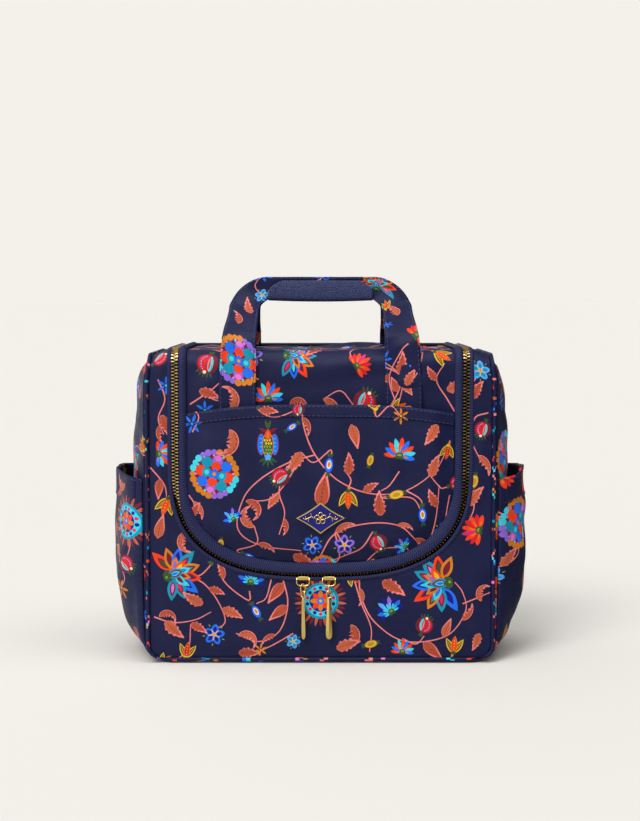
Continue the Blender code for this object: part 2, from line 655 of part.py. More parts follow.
for side, x0 in SLIDER_X.items():
    turn = math.radians(CHAIN_TURN[side])
    across = Vector((math.cos(turn), math.sin(turn), 0))
    along = Vector((-math.sin(turn), math.cos(turn), 0))
    middle = Vector((x0, chain_y, 0))
    slider_axis = axis_empty("slider_axis_" + side, (x0, -HALF_DEPTH - 0.0030, SLIDER_Z))
    link_axis = axis_empty("link_axis_" + side, (x0, chain_y, LOOP_LOW_Z), slider_axis)
    bar_axis = axis_empty("bar_axis_" + side, (x0, chain_y, EYE_TOP_Z), link_axis)

    wide, deep, tall = SLIDER_SIZE
    slider_front = -HALF_DEPTH - 0.0018 - deep
    box("slider_" + side, (x0 - wide / 2, slider_front, SLIDER_Z - tall / 2),
        (x0 + wide / 2, -HALF_DEPTH - 0.0018, SLIDER_Z + tall / 2), "gold", slider_axis, 0.0006)
    drop = [(-LOOP_HALF_WIDTH, slider_front - WIRE_RADIUS - GAP, SLIDER_Z + 0.0010)]
    for i in range(9):
        t = math.pi + math.pi * i / 8
        z = LOOP_LOW_Z + 0.0026 + 0.0026 * math.sin(t)
        drop.append((LOOP_HALF_WIDTH * math.copysign(abs(math.cos(t)) ** 0.6, math.cos(t)), chain_y, z))
    drop.append((LOOP_HALF_WIDTH, slider_front - WIRE_RADIUS - GAP, SLIDER_Z + 0.0010))
    tube("slider_loop_" + side, [(x0 + x, y, z) for x, y, z in drop], WIRE_RADIUS, "gold", slider_axis)

    tall_half = (LINK_TOP_Z - LINK_LOW_Z) / 2
    ring = [middle + along * a + Vector((0, 0, (LINK_TOP_Z + LINK_LOW_Z) / 2 + b))
            for a, b in stadium(LINK_HALF_WIDTH, tall_half)]
    tube("pull_link_" + side, ring, WIRE_RADIUS, "gold", link_axis, closed=True)

    def bar_outline():
        half = EYE_HALF_WIDTH + WIRE_RADIUS
        found = []
        for i in range(9):
            t = math.pi * i / 8
            found.append((half * math.cos(t), EYE_TOP_Z - EYE_HALF_WIDTH + half * math.sin(t)))
        found.append((-half, EYE_LOW_Z - 0.0006))
        found.append((-0.00155, EYE_LOW_Z - 0.0022))
        for i in range(7):
            t = math.pi + math.pi * i / 6
            found.append((0.0023 * math.cos(t), PULL_LOW_Z + 0.0023 + 0.0023 * math.sin(t)))
        found.append((0.00155, EYE_LOW_Z - 0.0022))
        found.append((half, EYE_LOW_Z - 0.0006))
        return found

    outline = bar_outline()
    count = len(outline)
    points = []
    for y in (-0.0007, 0.0007):
        points += [middle + across * a + along * y + Vector((0, 0, b)) for a, b in outline]
    hole = [(a, (EYE_TOP_Z + EYE_LOW_Z) / 2 + b)
            for a, b in stadium(EYE_HALF_WIDTH - WIRE_RADIUS, (EYE_TOP_Z - EYE_LOW_Z) / 2 - WIRE_RADIUS, 4)]
    faces = [tuple(range(count)), tuple(range(2 * count - 1, count - 1, -1))]
    faces += [(i, i + count, (i + 1) % count + count, (i + 1) % count) for i in range(count)]
    mesh = mesh_from("pull_bar_" + side, points, faces)
    made = bmesh.new()
    made.from_mesh(mesh)
    bmesh.ops.recalc_face_normals(made, faces=made.faces)
    made.to_mesh(mesh)
    made.free()
    puller = add("pull_bar_" + side, mesh, "gold", bar_axis)
    count = len(hole)
    points = []
    for y in (-0.004, 0.004):
        points += [middle + across * a + along * y + Vector((0, 0, b)) for a, b in hole]
    faces = [tuple(range(count)), tuple(range(2 * count - 1, count - 1, -1))]
    faces += [(i, i + count, (i + 1) % count + count, (i + 1) % count) for i in range(count)]
    cutter = bpy.data.objects.new("eye_cutter_" + side, mesh_from("eye_cutter_" + side, points, faces))
    made = bmesh.new()
    made.from_mesh(cutter.data)
    bmesh.ops.recalc_face_normals(made, faces=made.faces)
    made.to_mesh(cutter.data)
    made.free()
    cutters.objects.link(cutter)
    cutter.hide_render = True
    cutter.display_type = "WIRE"
    cut = puller.modifiers.new("eye", "BOOLEAN")
    cut.operation = "DIFFERENCE"
    cut.solver = "EXACT"
    cut.object = cutter

for sign in (-1, 1):
    low_x, high_x = sorted((sign * (ZIP_HALF_WIDTH - 0.0045), sign * (ZIP_HALF_WIDTH + 0.0045)))
    box("zip_end_tab_" + side_name(sign), (low_x, HALF_DEPTH + GAP, HEIGHT - 0.0160),
        (high_x, HALF_DEPTH + GAP + 0.0016, HEIGHT - 0.0042), "tape")
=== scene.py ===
import math
import random

import bmesh
import bpy
import numpy as np
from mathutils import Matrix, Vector
from mathutils.geometry import delaunay_2d_cdt


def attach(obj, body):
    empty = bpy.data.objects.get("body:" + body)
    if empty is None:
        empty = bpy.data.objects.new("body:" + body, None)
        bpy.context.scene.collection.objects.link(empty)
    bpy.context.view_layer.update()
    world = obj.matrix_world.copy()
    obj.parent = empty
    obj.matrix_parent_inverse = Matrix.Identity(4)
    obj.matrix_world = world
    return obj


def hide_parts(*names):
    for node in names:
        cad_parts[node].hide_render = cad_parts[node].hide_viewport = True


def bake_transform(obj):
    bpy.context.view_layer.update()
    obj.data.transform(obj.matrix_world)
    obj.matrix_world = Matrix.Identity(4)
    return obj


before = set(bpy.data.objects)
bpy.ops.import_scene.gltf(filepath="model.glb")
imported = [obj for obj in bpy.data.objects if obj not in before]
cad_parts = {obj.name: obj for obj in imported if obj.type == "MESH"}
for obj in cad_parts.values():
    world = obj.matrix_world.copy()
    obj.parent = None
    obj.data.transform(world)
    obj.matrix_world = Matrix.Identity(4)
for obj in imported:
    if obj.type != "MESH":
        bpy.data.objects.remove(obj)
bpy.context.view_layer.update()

# ---------------------------------------------------------------- sizes shared with the CAD (metres)
HALF_WIDTH = 0.125
HALF_DEPTH = 0.0575
HEIGHT = 0.230
EDGE_RADIUS = 0.012
PANEL_BASE_Z = 0.0038
CORNER_RADIUS = 0.009
ZIP_HALF_WIDTH = 0.106
ZIP_CENTRE_Z = 0.1465
ZIP_DROP = 0.0805
ZIP_POWER = 2.75
POCKET_BASE_Z = 0.010
POCKET_TOP_Z = 0.140
SIDE_BULGE = 0.0135
POCKET_BULGE = 0.0255
SLIP_DEPTH = 0.0065
SLIP_MOUTH_Z = 0.190
STRAP_X = 0.0605
STRAP_WIDTH = 0.027
BAR_Y = 0.0052
HANDLE_TOP_Z = 0.283
BAR_HEIGHT = 0.016
ARC_START = HEIGHT - EDGE_RADIUS
ARC_LENGTH = math.pi * EDGE_RADIUS / 2
TOP_START = ARC_START + ARC_LENGTH
V_END = TOP_START + 2 * HALF_DEPTH - EDGE_RADIUS - 0.0004
MM = 0.001
OUTLINE_STEP = 0.0024  # spacing of the points on a cut edge
PIPING_RADIUS = 0.0014
SEAM_INSET = 0.0016  # how far stitches run from an edge

collection = bpy.data.collections.new("bag_looks")
bpy.context.scene.collection.children.link(collection)


# ---------------------------------------------------------------- colours and materials
def srgb(r, g, b):
    """A linear colour from 0 to 255 display values."""
    return tuple(c / (255 * 12.92) if c <= 10 else ((c / 255 + 0.055) / 1.055) ** 2.4 for c in (r, g, b))


INK = {
    "navy": srgb(23, 27, 64), "coral": srgb(190, 92, 60), "coral2": srgb(176, 76, 50),
    "stem": srgb(230, 124, 120),
    "maroon": srgb(112, 28, 44), "blue": srgb(30, 108, 232), "royal": srgb(18, 20, 130),
    "sky": srgb(80, 160, 242),
    "teal": srgb(0, 142, 176), "cyan": srgb(60, 204, 224), "red": srgb(236, 62, 18),
    "crimson": srgb(208, 28, 40),
    "violet": srgb(136, 100, 206), "pink": srgb(226, 112, 200), "ochre": srgb(208, 122, 26),
    "yellow": srgb(220, 178, 40),
    "green": srgb(50, 82, 42), "lime": srgb(126, 150, 52), "magenta": srgb(214, 34, 104),
    "cream": srgb(240, 220, 180),
}
INK_NAMES = list(INK)
INK_TABLE = np.array([INK[n] for n in INK_NAMES], np.float32)


class Shader:
    """A Principled material being put together node by node."""

    def __init__(self, name, **values):
        self.material = bpy.data.materials.new(name)
        self.material.use_nodes = True
        self.tree = self.material.node_tree
        self.shader = self.tree.nodes["Principled BSDF"]
        for key, value in values.items():
            self.shader.inputs[key.replace("_", " ")].default_value = value
        self.coords = self.node("ShaderNodeTexCoord").outputs["Object"]

    def node(self, kind, inputs=None, **settings):
        made = self.tree.nodes.new(kind)
        for key, value in settings.items():
            setattr(made, key, value)
        for key, value in (inputs or {}).items():
            if hasattr(value, "is_output"):
                self.tree.links.new(value, made.inputs[key])
            else:
                made.inputs[key].default_value = value
        return made

    def noise(self, scale, detail=2.0):
        made = self.node("ShaderNodeTexNoise", {"Vector": self.coords, "Scale": scale, "Detail": detail})
        return made.outputs["Fac"]

    def maths(self, operation, a, b=0.0):
        made = self.node("ShaderNodeMath", {0: a, 1: b}, operation=operation)
        return made.outputs[0]

    def ramp(self, value, low, high, stops=(0.35, 0.65)):
        made = self.node("ShaderNodeMapRange", {"Value": value, "From Min": stops[0], "From Max": stops[1],
                                                "To Min": low, "To Max": high})
        return made.outputs["Result"]

    def mix(self, share, a, b, mode="MIX"):
        made = self.node("ShaderNodeMix", data_type="RGBA", blend_type=mode)
        for index, value in ((0, share), (6, a), (7, b)):
            if hasattr(value, "is_output"):
                self.tree.links.new(value, made.inputs[index])
            else:
                made.inputs[index].default_value = value if index == 0 else (*value[:3], 1)
        return made.outputs[2]

    def connect(self, value, socket):
        self.tree.links.new(value, self.shader.inputs[socket])

    def bump(self, height, strength, distance):
        made = self.node("ShaderNodeBump", {"Height": height, "Strength": strength, "Distance": distance})
        if self.shader.inputs["Normal"].is_linked:
            self.tree.links.new(self.shader.inputs["Normal"].links[0].from_socket, made.inputs["Normal"])
        self.connect(made.outputs["Normal"], "Normal")


def weave(shader, pitch, strength, distance=0.00008):
    """Fine warp and weft as bump, at a real thread pitch."""
    stripes = []
    for axis in ("X", "Y", "Z"):
        sockets = {"Vector": shader.coords, "Scale": math.pi / (10 * pitch), "Distortion": 0.6, "Detail": 1.0}
        wave = shader.node("ShaderNodeTexWave", sockets, wave_type="BANDS", bands_direction=axis)
        stripes.append(wave.outputs["Fac"])
    height = shader.maths("ADD", shader.maths("ADD", stripes[0], stripes[1]), stripes[2])
    shader.bump(height, strength, distance)
    return height


def printed_cloth(name, roughness=0.46):
    s = Shader(name, Sheen_Weight=0.02, Sheen_Roughness=0.30, Specular_IOR_Level=0.18)
    s.shader.inputs["Sheen Tint"].default_value = (0.60, 0.66, 0.85, 1)
    colour = s.node("ShaderNodeAttribute", attribute_name="print").outputs["Color"]
    threads = weave(s, 0.00034, 0.35)
    shade = s.ramp(threads, 0.90, 1.06, (0.6, 2.4))
    wear = s.ramp(s.noise(55, 3), 0.93, 1.07)
    both = s.maths("MULTIPLY", shade, wear)
    grey = s.node("ShaderNodeCombineColor", {0: both, 1: both, 2: both}).outputs[0]
    s.connect(s.mix(1.0, colour, grey, "MULTIPLY"), "Base Color")
    s.connect(s.ramp(s.noise(90, 2), roughness - 0.06, roughness + 0.08), "Roughness")
    s.bump(s.noise(140, 3), 0.20, 0.0004)
    return s.material


def plain_cloth(name, colour, dark, roughness=0.62, pitch=0.0004, strength=0.5, sheen=0.2):
    s = Shader(name, Sheen_Weight=sheen, Sheen_Roughness=0.4, Specular_IOR_Level=0.35)
    threads = weave(s, pitch, strength)
    s.connect(s.mix(s.ramp(threads, 0.0, 1.0, (0.6, 2.4)), dark, colour), "Base Color")
    s.connect(s.ramp(s.noise(120, 2), roughness - 0.07, roughness + 0.07), "Roughness")
    return s.material


def zip_tape():
    """Woven herringbone: V-shaped ribs that follow the tape, from its along and across distances."""
    s = Shader("zip_tape_weave", Sheen_Weight=0.0, Sheen_Roughness=0.4, Specular_IOR_Level=0.12)
    along = s.node("ShaderNodeAttribute", attribute_name="along").outputs["Fac"]
    across = s.node("ShaderNodeAttribute", attribute_name="across").outputs["Fac"]
    fold = s.maths("PINGPONG", across, 0.0016)
    run = s.maths("MULTIPLY", s.maths("ADD", along, fold), 2 * math.pi / 0.0016)
    rib = s.ramp(s.maths("SINE", run), 0.0, 1.0, (-1, 1))
    s.connect(s.mix(rib, srgb(7, 7, 26), srgb(54, 58, 104)), "Base Color")
    s.connect(s.ramp(rib, 0.62, 0.48, (0, 1)), "Roughness")
    s.bump(rib, 0.8, 0.00012)
    return s.material


def leather():
    s = Shader("pebbled_leather", Specular_IOR_Level=0.5, Coat_Weight=0.08, Coat_Roughness=0.35)
    cells = s.node("ShaderNodeTexVoronoi", {"Vector": s.coords, "Scale": 720.0, "Randomness": 0.9},
                   feature="DISTANCE_TO_EDGE").outputs["Distance"]
    pebble = s.ramp(cells, 0.0, 1.0, (0.0, 0.28))
    hide = s.mix(s.noise(70, 3), srgb(38, 50, 104), srgb(50, 64, 124))
    s.connect(s.mix(pebble, srgb(18, 24, 62), hide), "Base Color")
    s.connect(s.ramp(pebble, 0.62, 0.40, (0, 1)), "Roughness")
    s.bump(pebble, 0.75, 0.00025)
    s.bump(s.noise(1500, 2), 0.15, 0.0001)
    return s.material


def metal(name, bright, dark, roughness, patina=0.0):
    s = Shader(name, Metallic=1.0)
    worn = s.ramp(s.noise(420, 4), 0.0, 1.0, (0.35, 0.72))
    s.connect(s.mix(s.maths("MULTIPLY", worn, patina) if patina else 0.12, bright, dark), "Base Color")
    s.connect(s.ramp(s.noise(260, 3), roughness - 0.05, roughness + 0.08), "Roughness")
    s.bump(s.noise(900, 2), 0.04, 0.0001)
    return s.material


def enamel():
    s = Shader("blue_enamel", Coat_Weight=0.25, Coat_Roughness=0.08, Specular_IOR_Level=0.25)
    s.connect(s.mix(s.noise(160, 2), srgb(10, 12, 92), srgb(22, 26, 122)), "Base Color")
    s.connect(s.ramp(s.noise(300, 2), 0.16, 0.24), "Roughness")
    return s.material


def plastic(name, colour, roughness):
    s = Shader(name, Specular_IOR_Level=0.5)
    s.connect(s.mix(s.noise(220, 3), colour, tuple(c * 1.25 for c in colour)), "Base Color")
    s.connect(s.ramp(s.noise(500, 2), roughness - 0.04, roughness + 0.05), "Roughness")
    s.bump(s.noise(1800, 2), 0.06, 0.0001)
    return s.material


PRINT = printed_cloth("printed_nylon")
NAVY = plain_cloth("navy_tape", srgb(30, 31, 68), srgb(12, 13, 36), sheen=0.08)
LINING = plain_cloth("lining_cloth", srgb(52, 66, 128), srgb(40, 52, 108), 0.6, 0.0003, 0.3, 0.1)
MESH = plain_cloth("inner_pocket_cloth", srgb(34, 40, 88), srgb(14, 16, 42), 0.65, 0.0008, 0.9, 0.1)
THREAD = plain_cloth("thread", srgb(62, 72, 122), srgb(30, 36, 78), 0.5, 0.0002, 0.5, 0.15)
TAPE = zip_tape()
LEATHER = leather()
GOLD = metal("pale_gold", srgb(255, 222, 132), srgb(206, 154, 66), 0.10)
BRASS = metal("antique_brass", srgb(236, 206, 140), srgb(130, 100, 56), 0.20, 0.5)
ENAMEL = enamel()
HOOK_PLASTIC = plastic("hook_plastic", srgb(26, 28, 48), 0.34)
BOARD = plastic("base_board_sheet", srgb(30, 30, 38), 0.55)


# ---------------------------------------------------------------- surfaces
def ripple(a, b, seed, wavelength, size):
    """Smooth cloth-like unevenness: a few crossing waves."""
    rng = random.Random(seed)
    total = np.zeros_like(np.asarray(a, float))
    for _ in range(7):
        angle = rng.uniform(0, math.pi)
        length = wavelength * rng.uniform(0.6, 1.7)
        phase = rng.uniform(0, 6.3)
        total = total + np.sin((a * math.cos(angle) + b * math.sin(angle)) * 2 * math.pi / length + phase)
    return total * size / 3.0


def smooth(low, high, value):
    t = np.clip((value - low) / (high - low), 0, 1)
    return t * t * (3 - 2 * t)


def skin(u, v, n):
    """Points of the front, rounded edge and top, n outside them."""
    u, v, n = np.broadcast_arrays(np.asarray(u, float), np.asarray(v, float), np.asarray(n, float))
    a = np.clip((v - ARC_START) / EDGE_RADIUS, 0, math.pi / 2)
    r = EDGE_RADIUS + n
    y = -HALF_DEPTH + EDGE_RADIUS - r * np.cos(a) + np.maximum(0, v - TOP_START)
    z = np.where(v <= ARC_START, v, ARC_START + r * np.sin(a))
    return np.stack([u, y, z], -1)


def slump(p):
    """Lets the upper side corners droop and round off, as cloth does over a padded edge."""
    x, y, z = p[..., 0], p[..., 1], p[..., 2]
    k = smooth(0.104, 0.129, np.abs(x)) * smooth(0.196, 0.2305, z)
    return np.stack([x * (1 - 0.016 * k * k), y, z - 0.0046 * k], -1)


def zip_half(v, offset=0.0):
    """Half the width of the zip's U at height v, its centre line moved outwards by offset."""
    drop = np.clip((ZIP_CENTRE_Z - v) / (ZIP_DROP + offset), 0, 1)
    return (ZIP_HALF_WIDTH + offset) * (1 - drop ** ZIP_POWER) ** (1 / ZIP_POWER)


def zip_path(offset, step=0.0015, back=V_END):
    """Points (u, v) along the zip, evenly spaced, from the back on the left to the back on the right."""
    t = np.linspace(-math.pi / 2, math.pi / 2, 241)
    u = np.sign(np.sin(t)) * np.abs(np.sin(t)) ** (2 / ZIP_POWER) * (ZIP_HALF_WIDTH + offset)
    v = ZIP_CENTRE_Z - (ZIP_DROP + offset) * np.maximum(np.cos(t), 0) ** (2 / ZIP_POWER)
    leg = np.linspace(back, ZIP_CENTRE_Z, 120, endpoint=False)
    u = np.concatenate([np.full(120, u[0]), u, np.full(120, u[-1])])
    v = np.concatenate([leg, v, leg[::-1]])
    return evenly(np.stack([u, v], -1), step)


def evenly(points, step):
    """The same line through points step apart."""
    return resample(points, max(2, int(round(walk(points)[-1] / step)) + 1))


def walk(line):
    """The distance walked along a line at each of its points."""
    return np.concatenate([[0], np.cumsum(np.linalg.norm(np.diff(line, axis=0), axis=1))])


def reached(line, walked, at):
    """The points of a line at the distances at along it."""
    return np.stack([np.interp(at, walked, line[:, k]) for k in range(line.shape[1])], -1)


def resample(line, count):
    """The same line through count evenly spaced points."""
    walked = walk(line)
    return reached(line, walked, np.linspace(0, walked[-1], count))


def edge_x(z):
    drop = np.clip(PANEL_BASE_Z + CORNER_RADIUS - z, 0, CORNER_RADIUS)
    return HALF_WIDTH - CORNER_RADIUS + np.sqrt(CORNER_RADIUS ** 2 - drop ** 2)


def side_swell(y, z):
    across = np.maximum(0, 1 - np.abs(y / HALF_DEPTH) ** 2.2)
    t = np.clip(z / HEIGHT, 0, 1)
    return SIDE_BULGE * across * np.minimum(1, 4.2 * t * (1 - t)) ** 0.45


def pocket_swell(y, z):
    across = np.maximum(0, 1 - np.abs(y / HALF_DEPTH) ** 2.6)
    t = np.clip((z - POCKET_BASE_Z) / (POCKET_TOP_Z - POCKET_BASE_Z), 0, 1)
    upper = 1 - 0.12 * np.maximum(0, (t - 0.5) / 0.5) ** 1.6
    lower = np.minimum(1, t / 0.5)
    return POCKET_BULGE * across * upper * (lower * (2 - lower)) ** 0.5


# ---------------------------------------------------------------- the print: a generic trailing floral
def turned(x, y, angle, at):
    """Points x, y turned clockwise by angle (degrees) and put down at a point."""
    a = math.radians(angle)
    return np.stack([at[0] + x * math.cos(a) + y * math.sin(a),
                     at[1] - x * math.sin(a) + y * math.cos(a)], -1)


def petal(length, width, angle, ink, start=0.0, at=(0.0, 0.0), blunt=0.8, points=7):
    """A petal that leaves at, start away from it, in the direction angle (degrees, 0 is up)."""
    t = np.linspace(0, 1, points)
    half = 0.5 * width * np.sin(math.pi * t ** 0.85) ** blunt
    along = start + t * length
    x = np.concatenate([-half, half[-2:0:-1]])
    y = np.concatenate([along, along[-2:0:-1]])
    return turned(x, y, angle, at), ink


def disc(x, y, r, ink, squash=1.0, sides=12):
    t = np.arange(sides) * 2 * math.pi / sides
    return np.stack([x + r * np.cos(t), y + r * squash * np.sin(t)], -1), ink


def around(count, radius, first=0.0):
    for i in range(count):
        a = first + 360 / count * i
        yield a, radius * math.sin(math.radians(a)), radius * math.cos(math.radians(a))


def rosette(k=0):
    found = [disc(0, 0, 17.5, "maroon", sides=24)]
    for i, (a, x, y) in enumerate(around(24, 18.2)):
        ink = ("ochre", "ochre", "cyan", "violet")[(i // 3 + k) % 4]
        found.append(disc(x, y, 2.5 if i % 2 else 3.0, ink, sides=8))
    for i, (a, x, y) in enumerate(around(12, 15.5, 15)):
        found.append(disc(x, y, 1.1, ("cyan", "yellow", "pink")[i % 3], sides=6))
    ring = ("violet", "blue", "red", "teal", "violet", "blue", "red", "teal")
    for i, (a, x, y) in enumerate(around(8, 11.6)):
        found.append(disc(x, y, 4.5, ring[(i + k) % 8]))
        if ring[(i + k) % 8] == "violet":
            found.append(disc(x * 1.15, y * 1.15, 3.0, "pink", 0.8, 10))
    for i, (a, x, y) in enumerate(around(4, 6.4)):
        found.append(disc(x, y, 4.0, "red" if i % 2 == 0 else "teal"))
        if i % 2:
            found.append(disc(x, y, 2.2, "cyan", sides=8))
    found += [petal(4.4, 3.2, a, "blue", 0.6, blunt=0.5) for a, _, _ in around(5, 0)]
    return found + [disc(0, 0, 1.7, "ochre", sides=8), disc(0, 0, 0.8, "yellow", sides=6)]


def lotus(k=0):
    found = []
    outer = ("teal", "red", "ochre", "blue", "teal", "ochre", "red", "blue", "teal")
    core = ("pink", "green", "maroon", "royal", "magenta", "teal", "royal", "cyan", "magenta")
    for i in range(9):
        a = -116 + 29 * i
        found.append(petal(21 - 3 * abs(math.sin(i * 2.1)), 8.6, a, outer[(i + k) % 9], 3.5,
                           blunt=0.9, points=9))
        found.append(petal(12.5, 4.8, a, "royal" if outer[(i + k) % 9] == "blue" else "maroon", 6, blunt=0.9))
        found.append(petal(8.5, 2.6, a, core[(i + k) % 9], 7.5, blunt=0.9))
    for i in range(5):
        a = -64 + 32 * i
        found.append(petal(13.0, 6.0, a, ("cyan", "ochre", "red", "cyan", "ochre")[(i + k) % 5], 1.0,
                           blunt=0.9))
        found.append(petal(8.0, 3.2, a, ("maroon", "violet", "yellow", "blue", "maroon")[(i + k) % 5],
                           2.6, blunt=0.9))
    found += [petal(14, 8, 0, "teal", -5.5, blunt=0.8), petal(11, 5.8, 0, "maroon", -4.2, blunt=0.8),
              petal(8, 3.6, 0, "cyan", -3.0), petal(5.5, 2.2, 0, "blue", -2.0)]
    found += [petal(7.5, 4.2, a, "green", 0, at=(0, -9.0), blunt=0.6) for a in (-38, 0, 38)]
    return found + [disc(0, -6.4, 3.0, "green", 0.9, 10), disc(0.6, -6.6, 1.2, "lime", 0.9, 7)]


def fan(k=0):
    inks = (("red", "blue", "red", "cyan", "red", "blue", "red", "cyan", "blue"),
            ("royal", "blue", "royal", "sky", "royal", "violet", "royal", "blue", "royal"),
            ("red", "crimson", "red", "magenta", "red", "crimson", "red", "crimson", "red"))[k % 3]
    found = []
    for i in range(9):
        a = -92 + 23 * i
        long = 12.5 - 2.6 * abs(i - 4) / 4
        found.append(petal(long, 3.9, a, inks[i], 2.2, blunt=0.5))
        if k % 3 == 1:
            found.append(petal(long * 0.5, 2.0, a, "cyan", 2.2, blunt=0.6))
        elif i % 2 == 0:
            found.append(petal(long * 0.45, 1.5, a, "ochre", 3.0))
    return found + [disc(0, 0.4, 3.0, "green", 0.9, 10), disc(0, 0.6, 1.8, "lime", 0.8, 8),
                    petal(4, 2.0, -130, "green"), petal(4, 2.0, 130, "green")]


def thistle(k=0):
    found = [petal(9, 2.2, a, "green", 0.5, at=(0, -11)) for a in (180, 150, 210, 122, 238)]
    found += [petal(8.5, 2.6, a, "green", 0, at=(0, 12.5)) for a in (-16, 16)]
    found += [petal(9, 3.0, a, "maroon", 0, at=(0, 9.5)) for a in (-62, 62)]
    for side in (-1, 1):
        found.append(disc(side * 5.6, -0.5, 4.0, "maroon", 2.5, 16))
        found.append(disc(side * 5.6, -0.5, 3.3, "blue", 2.7, 16))
        found += [disc(side * 6.0, y, 1.1, "cyan", 0.35, 6) for y in (-6, -2.5, 1, 4.5)]
    found += [disc(0, -1.0, 5.0, "ochre", 2.2, 18), disc(0, -1.0, 4.4, "green", 2.3, 18)]
    for row in range(5):
        found += [disc(x + (row % 2) * 1.2 - 0.6, -8.0 + 2.8 * row, 0.95,
                       "lime" if row < 3 else "yellow", 1.4, 6) for x in (-2.2, 0, 2.2)]
    found += [petal(9.5, 5.5, 0, "red", 3.4), petal(6, 2.2, 0, "ochre", 4.4)]
    return found + [petal(3.4, 2.4, a, "sky", 0, at=(0, -11.5), blunt=0.5, points=5)
                    for a in range(0, 360, 72)]


def tulip(k=0):
    found = [petal(15, 5.6, a, "yellow", 0, at=(0, -7), blunt=0.8) for a in (-30, 30)]
    found += [petal(12.5, 3.2, a, "green", 1.2, at=(0, -7)) for a in (-30, 30)]
    found += [petal(10.5, 1.3, a, "ochre", 2.0, at=(0, -7)) for a in (-30, 30)]
    found += [petal(15.5, 5.8, 0, "ochre", 0, at=(0, -7)),
              petal(14.5, 4.6, 0, "crimson" if k else "red", 0.4, at=(0, -7))]
    found += [disc(0, y, 0.5, "yellow", 1.3, 5) for y in (-3.5, -1, 1.5, 4)]
    return found + [petal(4.6, 2.2, 200, "ochre", 0, at=(0, -6.5)),
                    disc(0, -6.6, 2.2, "yellow" if k else "green", 0.7, 8)]


def pomegranate(k=0):
    found = [petal(5, 1.6, a, "green", 5.5) for a in (-34, -17, 0, 17, 34)]
    found += [petal(4, 1.6, a, "green", 0, at=(0, -7)) for a in (150, 180, 210)]
    found += [disc(0, 0, 7.8, "maroon", 0.95, 18), disc(1.0, 0, 5.6, "crimson", 1.1, 14)]
    found += [petal(11.5, 3.8, 172, "cyan", -5.6, at=(-2.2, 0), blunt=0.8),
              petal(9, 1.5, 172, "red", -4.4, at=(-1.6, 0))]
    found += [disc(4.4 * math.sin(a), 5.2 * math.cos(a), 0.55, "sky", 1, 5) for a in np.linspace(0.5, 2.6, 7)]
    return found + [disc(0, 6.4, 1.3, "cream", 0.9, 7)]


def daisy(k=0):
    one, two = (("blue", "royal"), ("sky", "teal"), ("violet", "royal"))[k % 3]
    found = [petal(3, 1.0, a, "lime", 8.0) for a in range(36, 396, 72)]
    found += [petal(8.8, 6.6, a, one, 1.2, blunt=0.5, points=8) for a in range(0, 360, 72)]
    found += [petal(5.4, 3.4, a, two, 2.2, blunt=0.6) for a in range(0, 360, 72)]
    found += [petal(4.6, 1.0, a, "yellow", 1.4) for a in range(36, 396, 72)]
    return found + [disc(0, 0, 1.9, "yellow", 1, 8), disc(0, 0, 0.9, "ochre", 1, 6)]


def bud(k=0):
    found = [petal(5, 2.0, a, "green", 0, at=(0, -6)) for a in (150, 180, 210)]
    found += [disc(0, 0, 4.0, ("royal", "ochre")[k % 2], 1.75, 14),
              disc(0, 0, 3.3, ("blue", "yellow")[k % 2], 1.8, 14)]
    found += [disc(0, -0.4, 2.0, "cream" if k % 2 == 0 else "lime", 1.9, 10),
              disc(0, -0.6, 1.2, "ochre", 2.2, 8)]
    return found + [petal(4.4, 2.0, a, "green", 0, at=(0, 6)) for a in (-25, 25)]


def star(k=0):
    found = [petal(7.4, 2.4, a, "blue" if k % 2 == 0 else "ochre", 1.4, blunt=0.6) for a in range(0, 360, 60)]
    return found + [disc(0, 0, 1.1, "cyan" if k % 2 == 0 else "yellow", 1, 6)]


def burst(k=0):
    found = [petal(8.5, 2.4, a, "maroon" if i % 2 else "coral", 12.5)
             for i, a in enumerate(range(0, 360, 12))]
    found += [disc(0, 0, 14.5, "teal", 1, 26), disc(0, 0, 12.6, "cyan", 1, 24)]
    found += [disc(x, y, 1.5, "magenta" if i % 2 else "royal", 1, 8)
              for i, (_, x, y) in enumerate(around(14, 10.6))]
    found += [disc(0, 0, 8.8, "royal", 1, 20)]
    found += [petal(6.6, 4.2, a, "red" if i % 2 else "ochre", 2.0, blunt=0.6)
              for i, a in enumerate(range(0, 360, 45))]
    return found + [disc(0, 0, 3.0, "blue", 1, 10), disc(0, 0, 1.4, "yellow", 1, 7)]


def leaf(k=0, length=22.0, width=11.0, bend=0.35, teeth=5, plume=False):
    """A serrated leaf with a light outline and a dashed rib, drawn along a bent line from its stalk. A
    plume has a smooth back and deep lobes along its hollow side."""
    t = np.linspace(0, 1, 6 * teeth + 1)
    tooth = (t * teeth) % 1.0
    body = width * 0.5 * np.sin(math.pi * t ** 0.66) ** 1.05
    right = body * ((0.50 + 0.85 * tooth) if plume else (0.66 + 0.42 * tooth)) if teeth > 1 else body
    left = body * 0.34 if plume else (body * (0.66 + 0.42 * ((tooth + 0.5) % 1.0)) if teeth > 1 else body)

    def bent(x, y):
        if abs(bend) < 1e-6:
            return np.stack([x, y], -1)
        r = length / bend
        a = y / r
        return np.stack([r - (r - x) * np.cos(a), (r - x) * np.sin(a)], -1)

    def outline(extra, low, high):
        y = low + (high - low) * t * length
        return bent(np.concatenate([-left - extra, (right + extra)[::-1]]), np.concatenate([y, y[::-1]]))

    found = [(outline(0.5, 0.0, 1.05), "stem"), (outline(-0.15, 0.05, 0.98), ("coral", "coral2")[k % 2])]
    for i in range(6):
        y0, y1 = length * (0.14 + 0.125 * i), length * (0.21 + 0.125 * i)
        x0 = -0.06 * width if plume else 0.0
        found.append((bent(x0 + np.array([-0.3, 0.3, 0.3, -0.3]), np.array([y0, y0, y1, y1])), "maroon"))
    return found


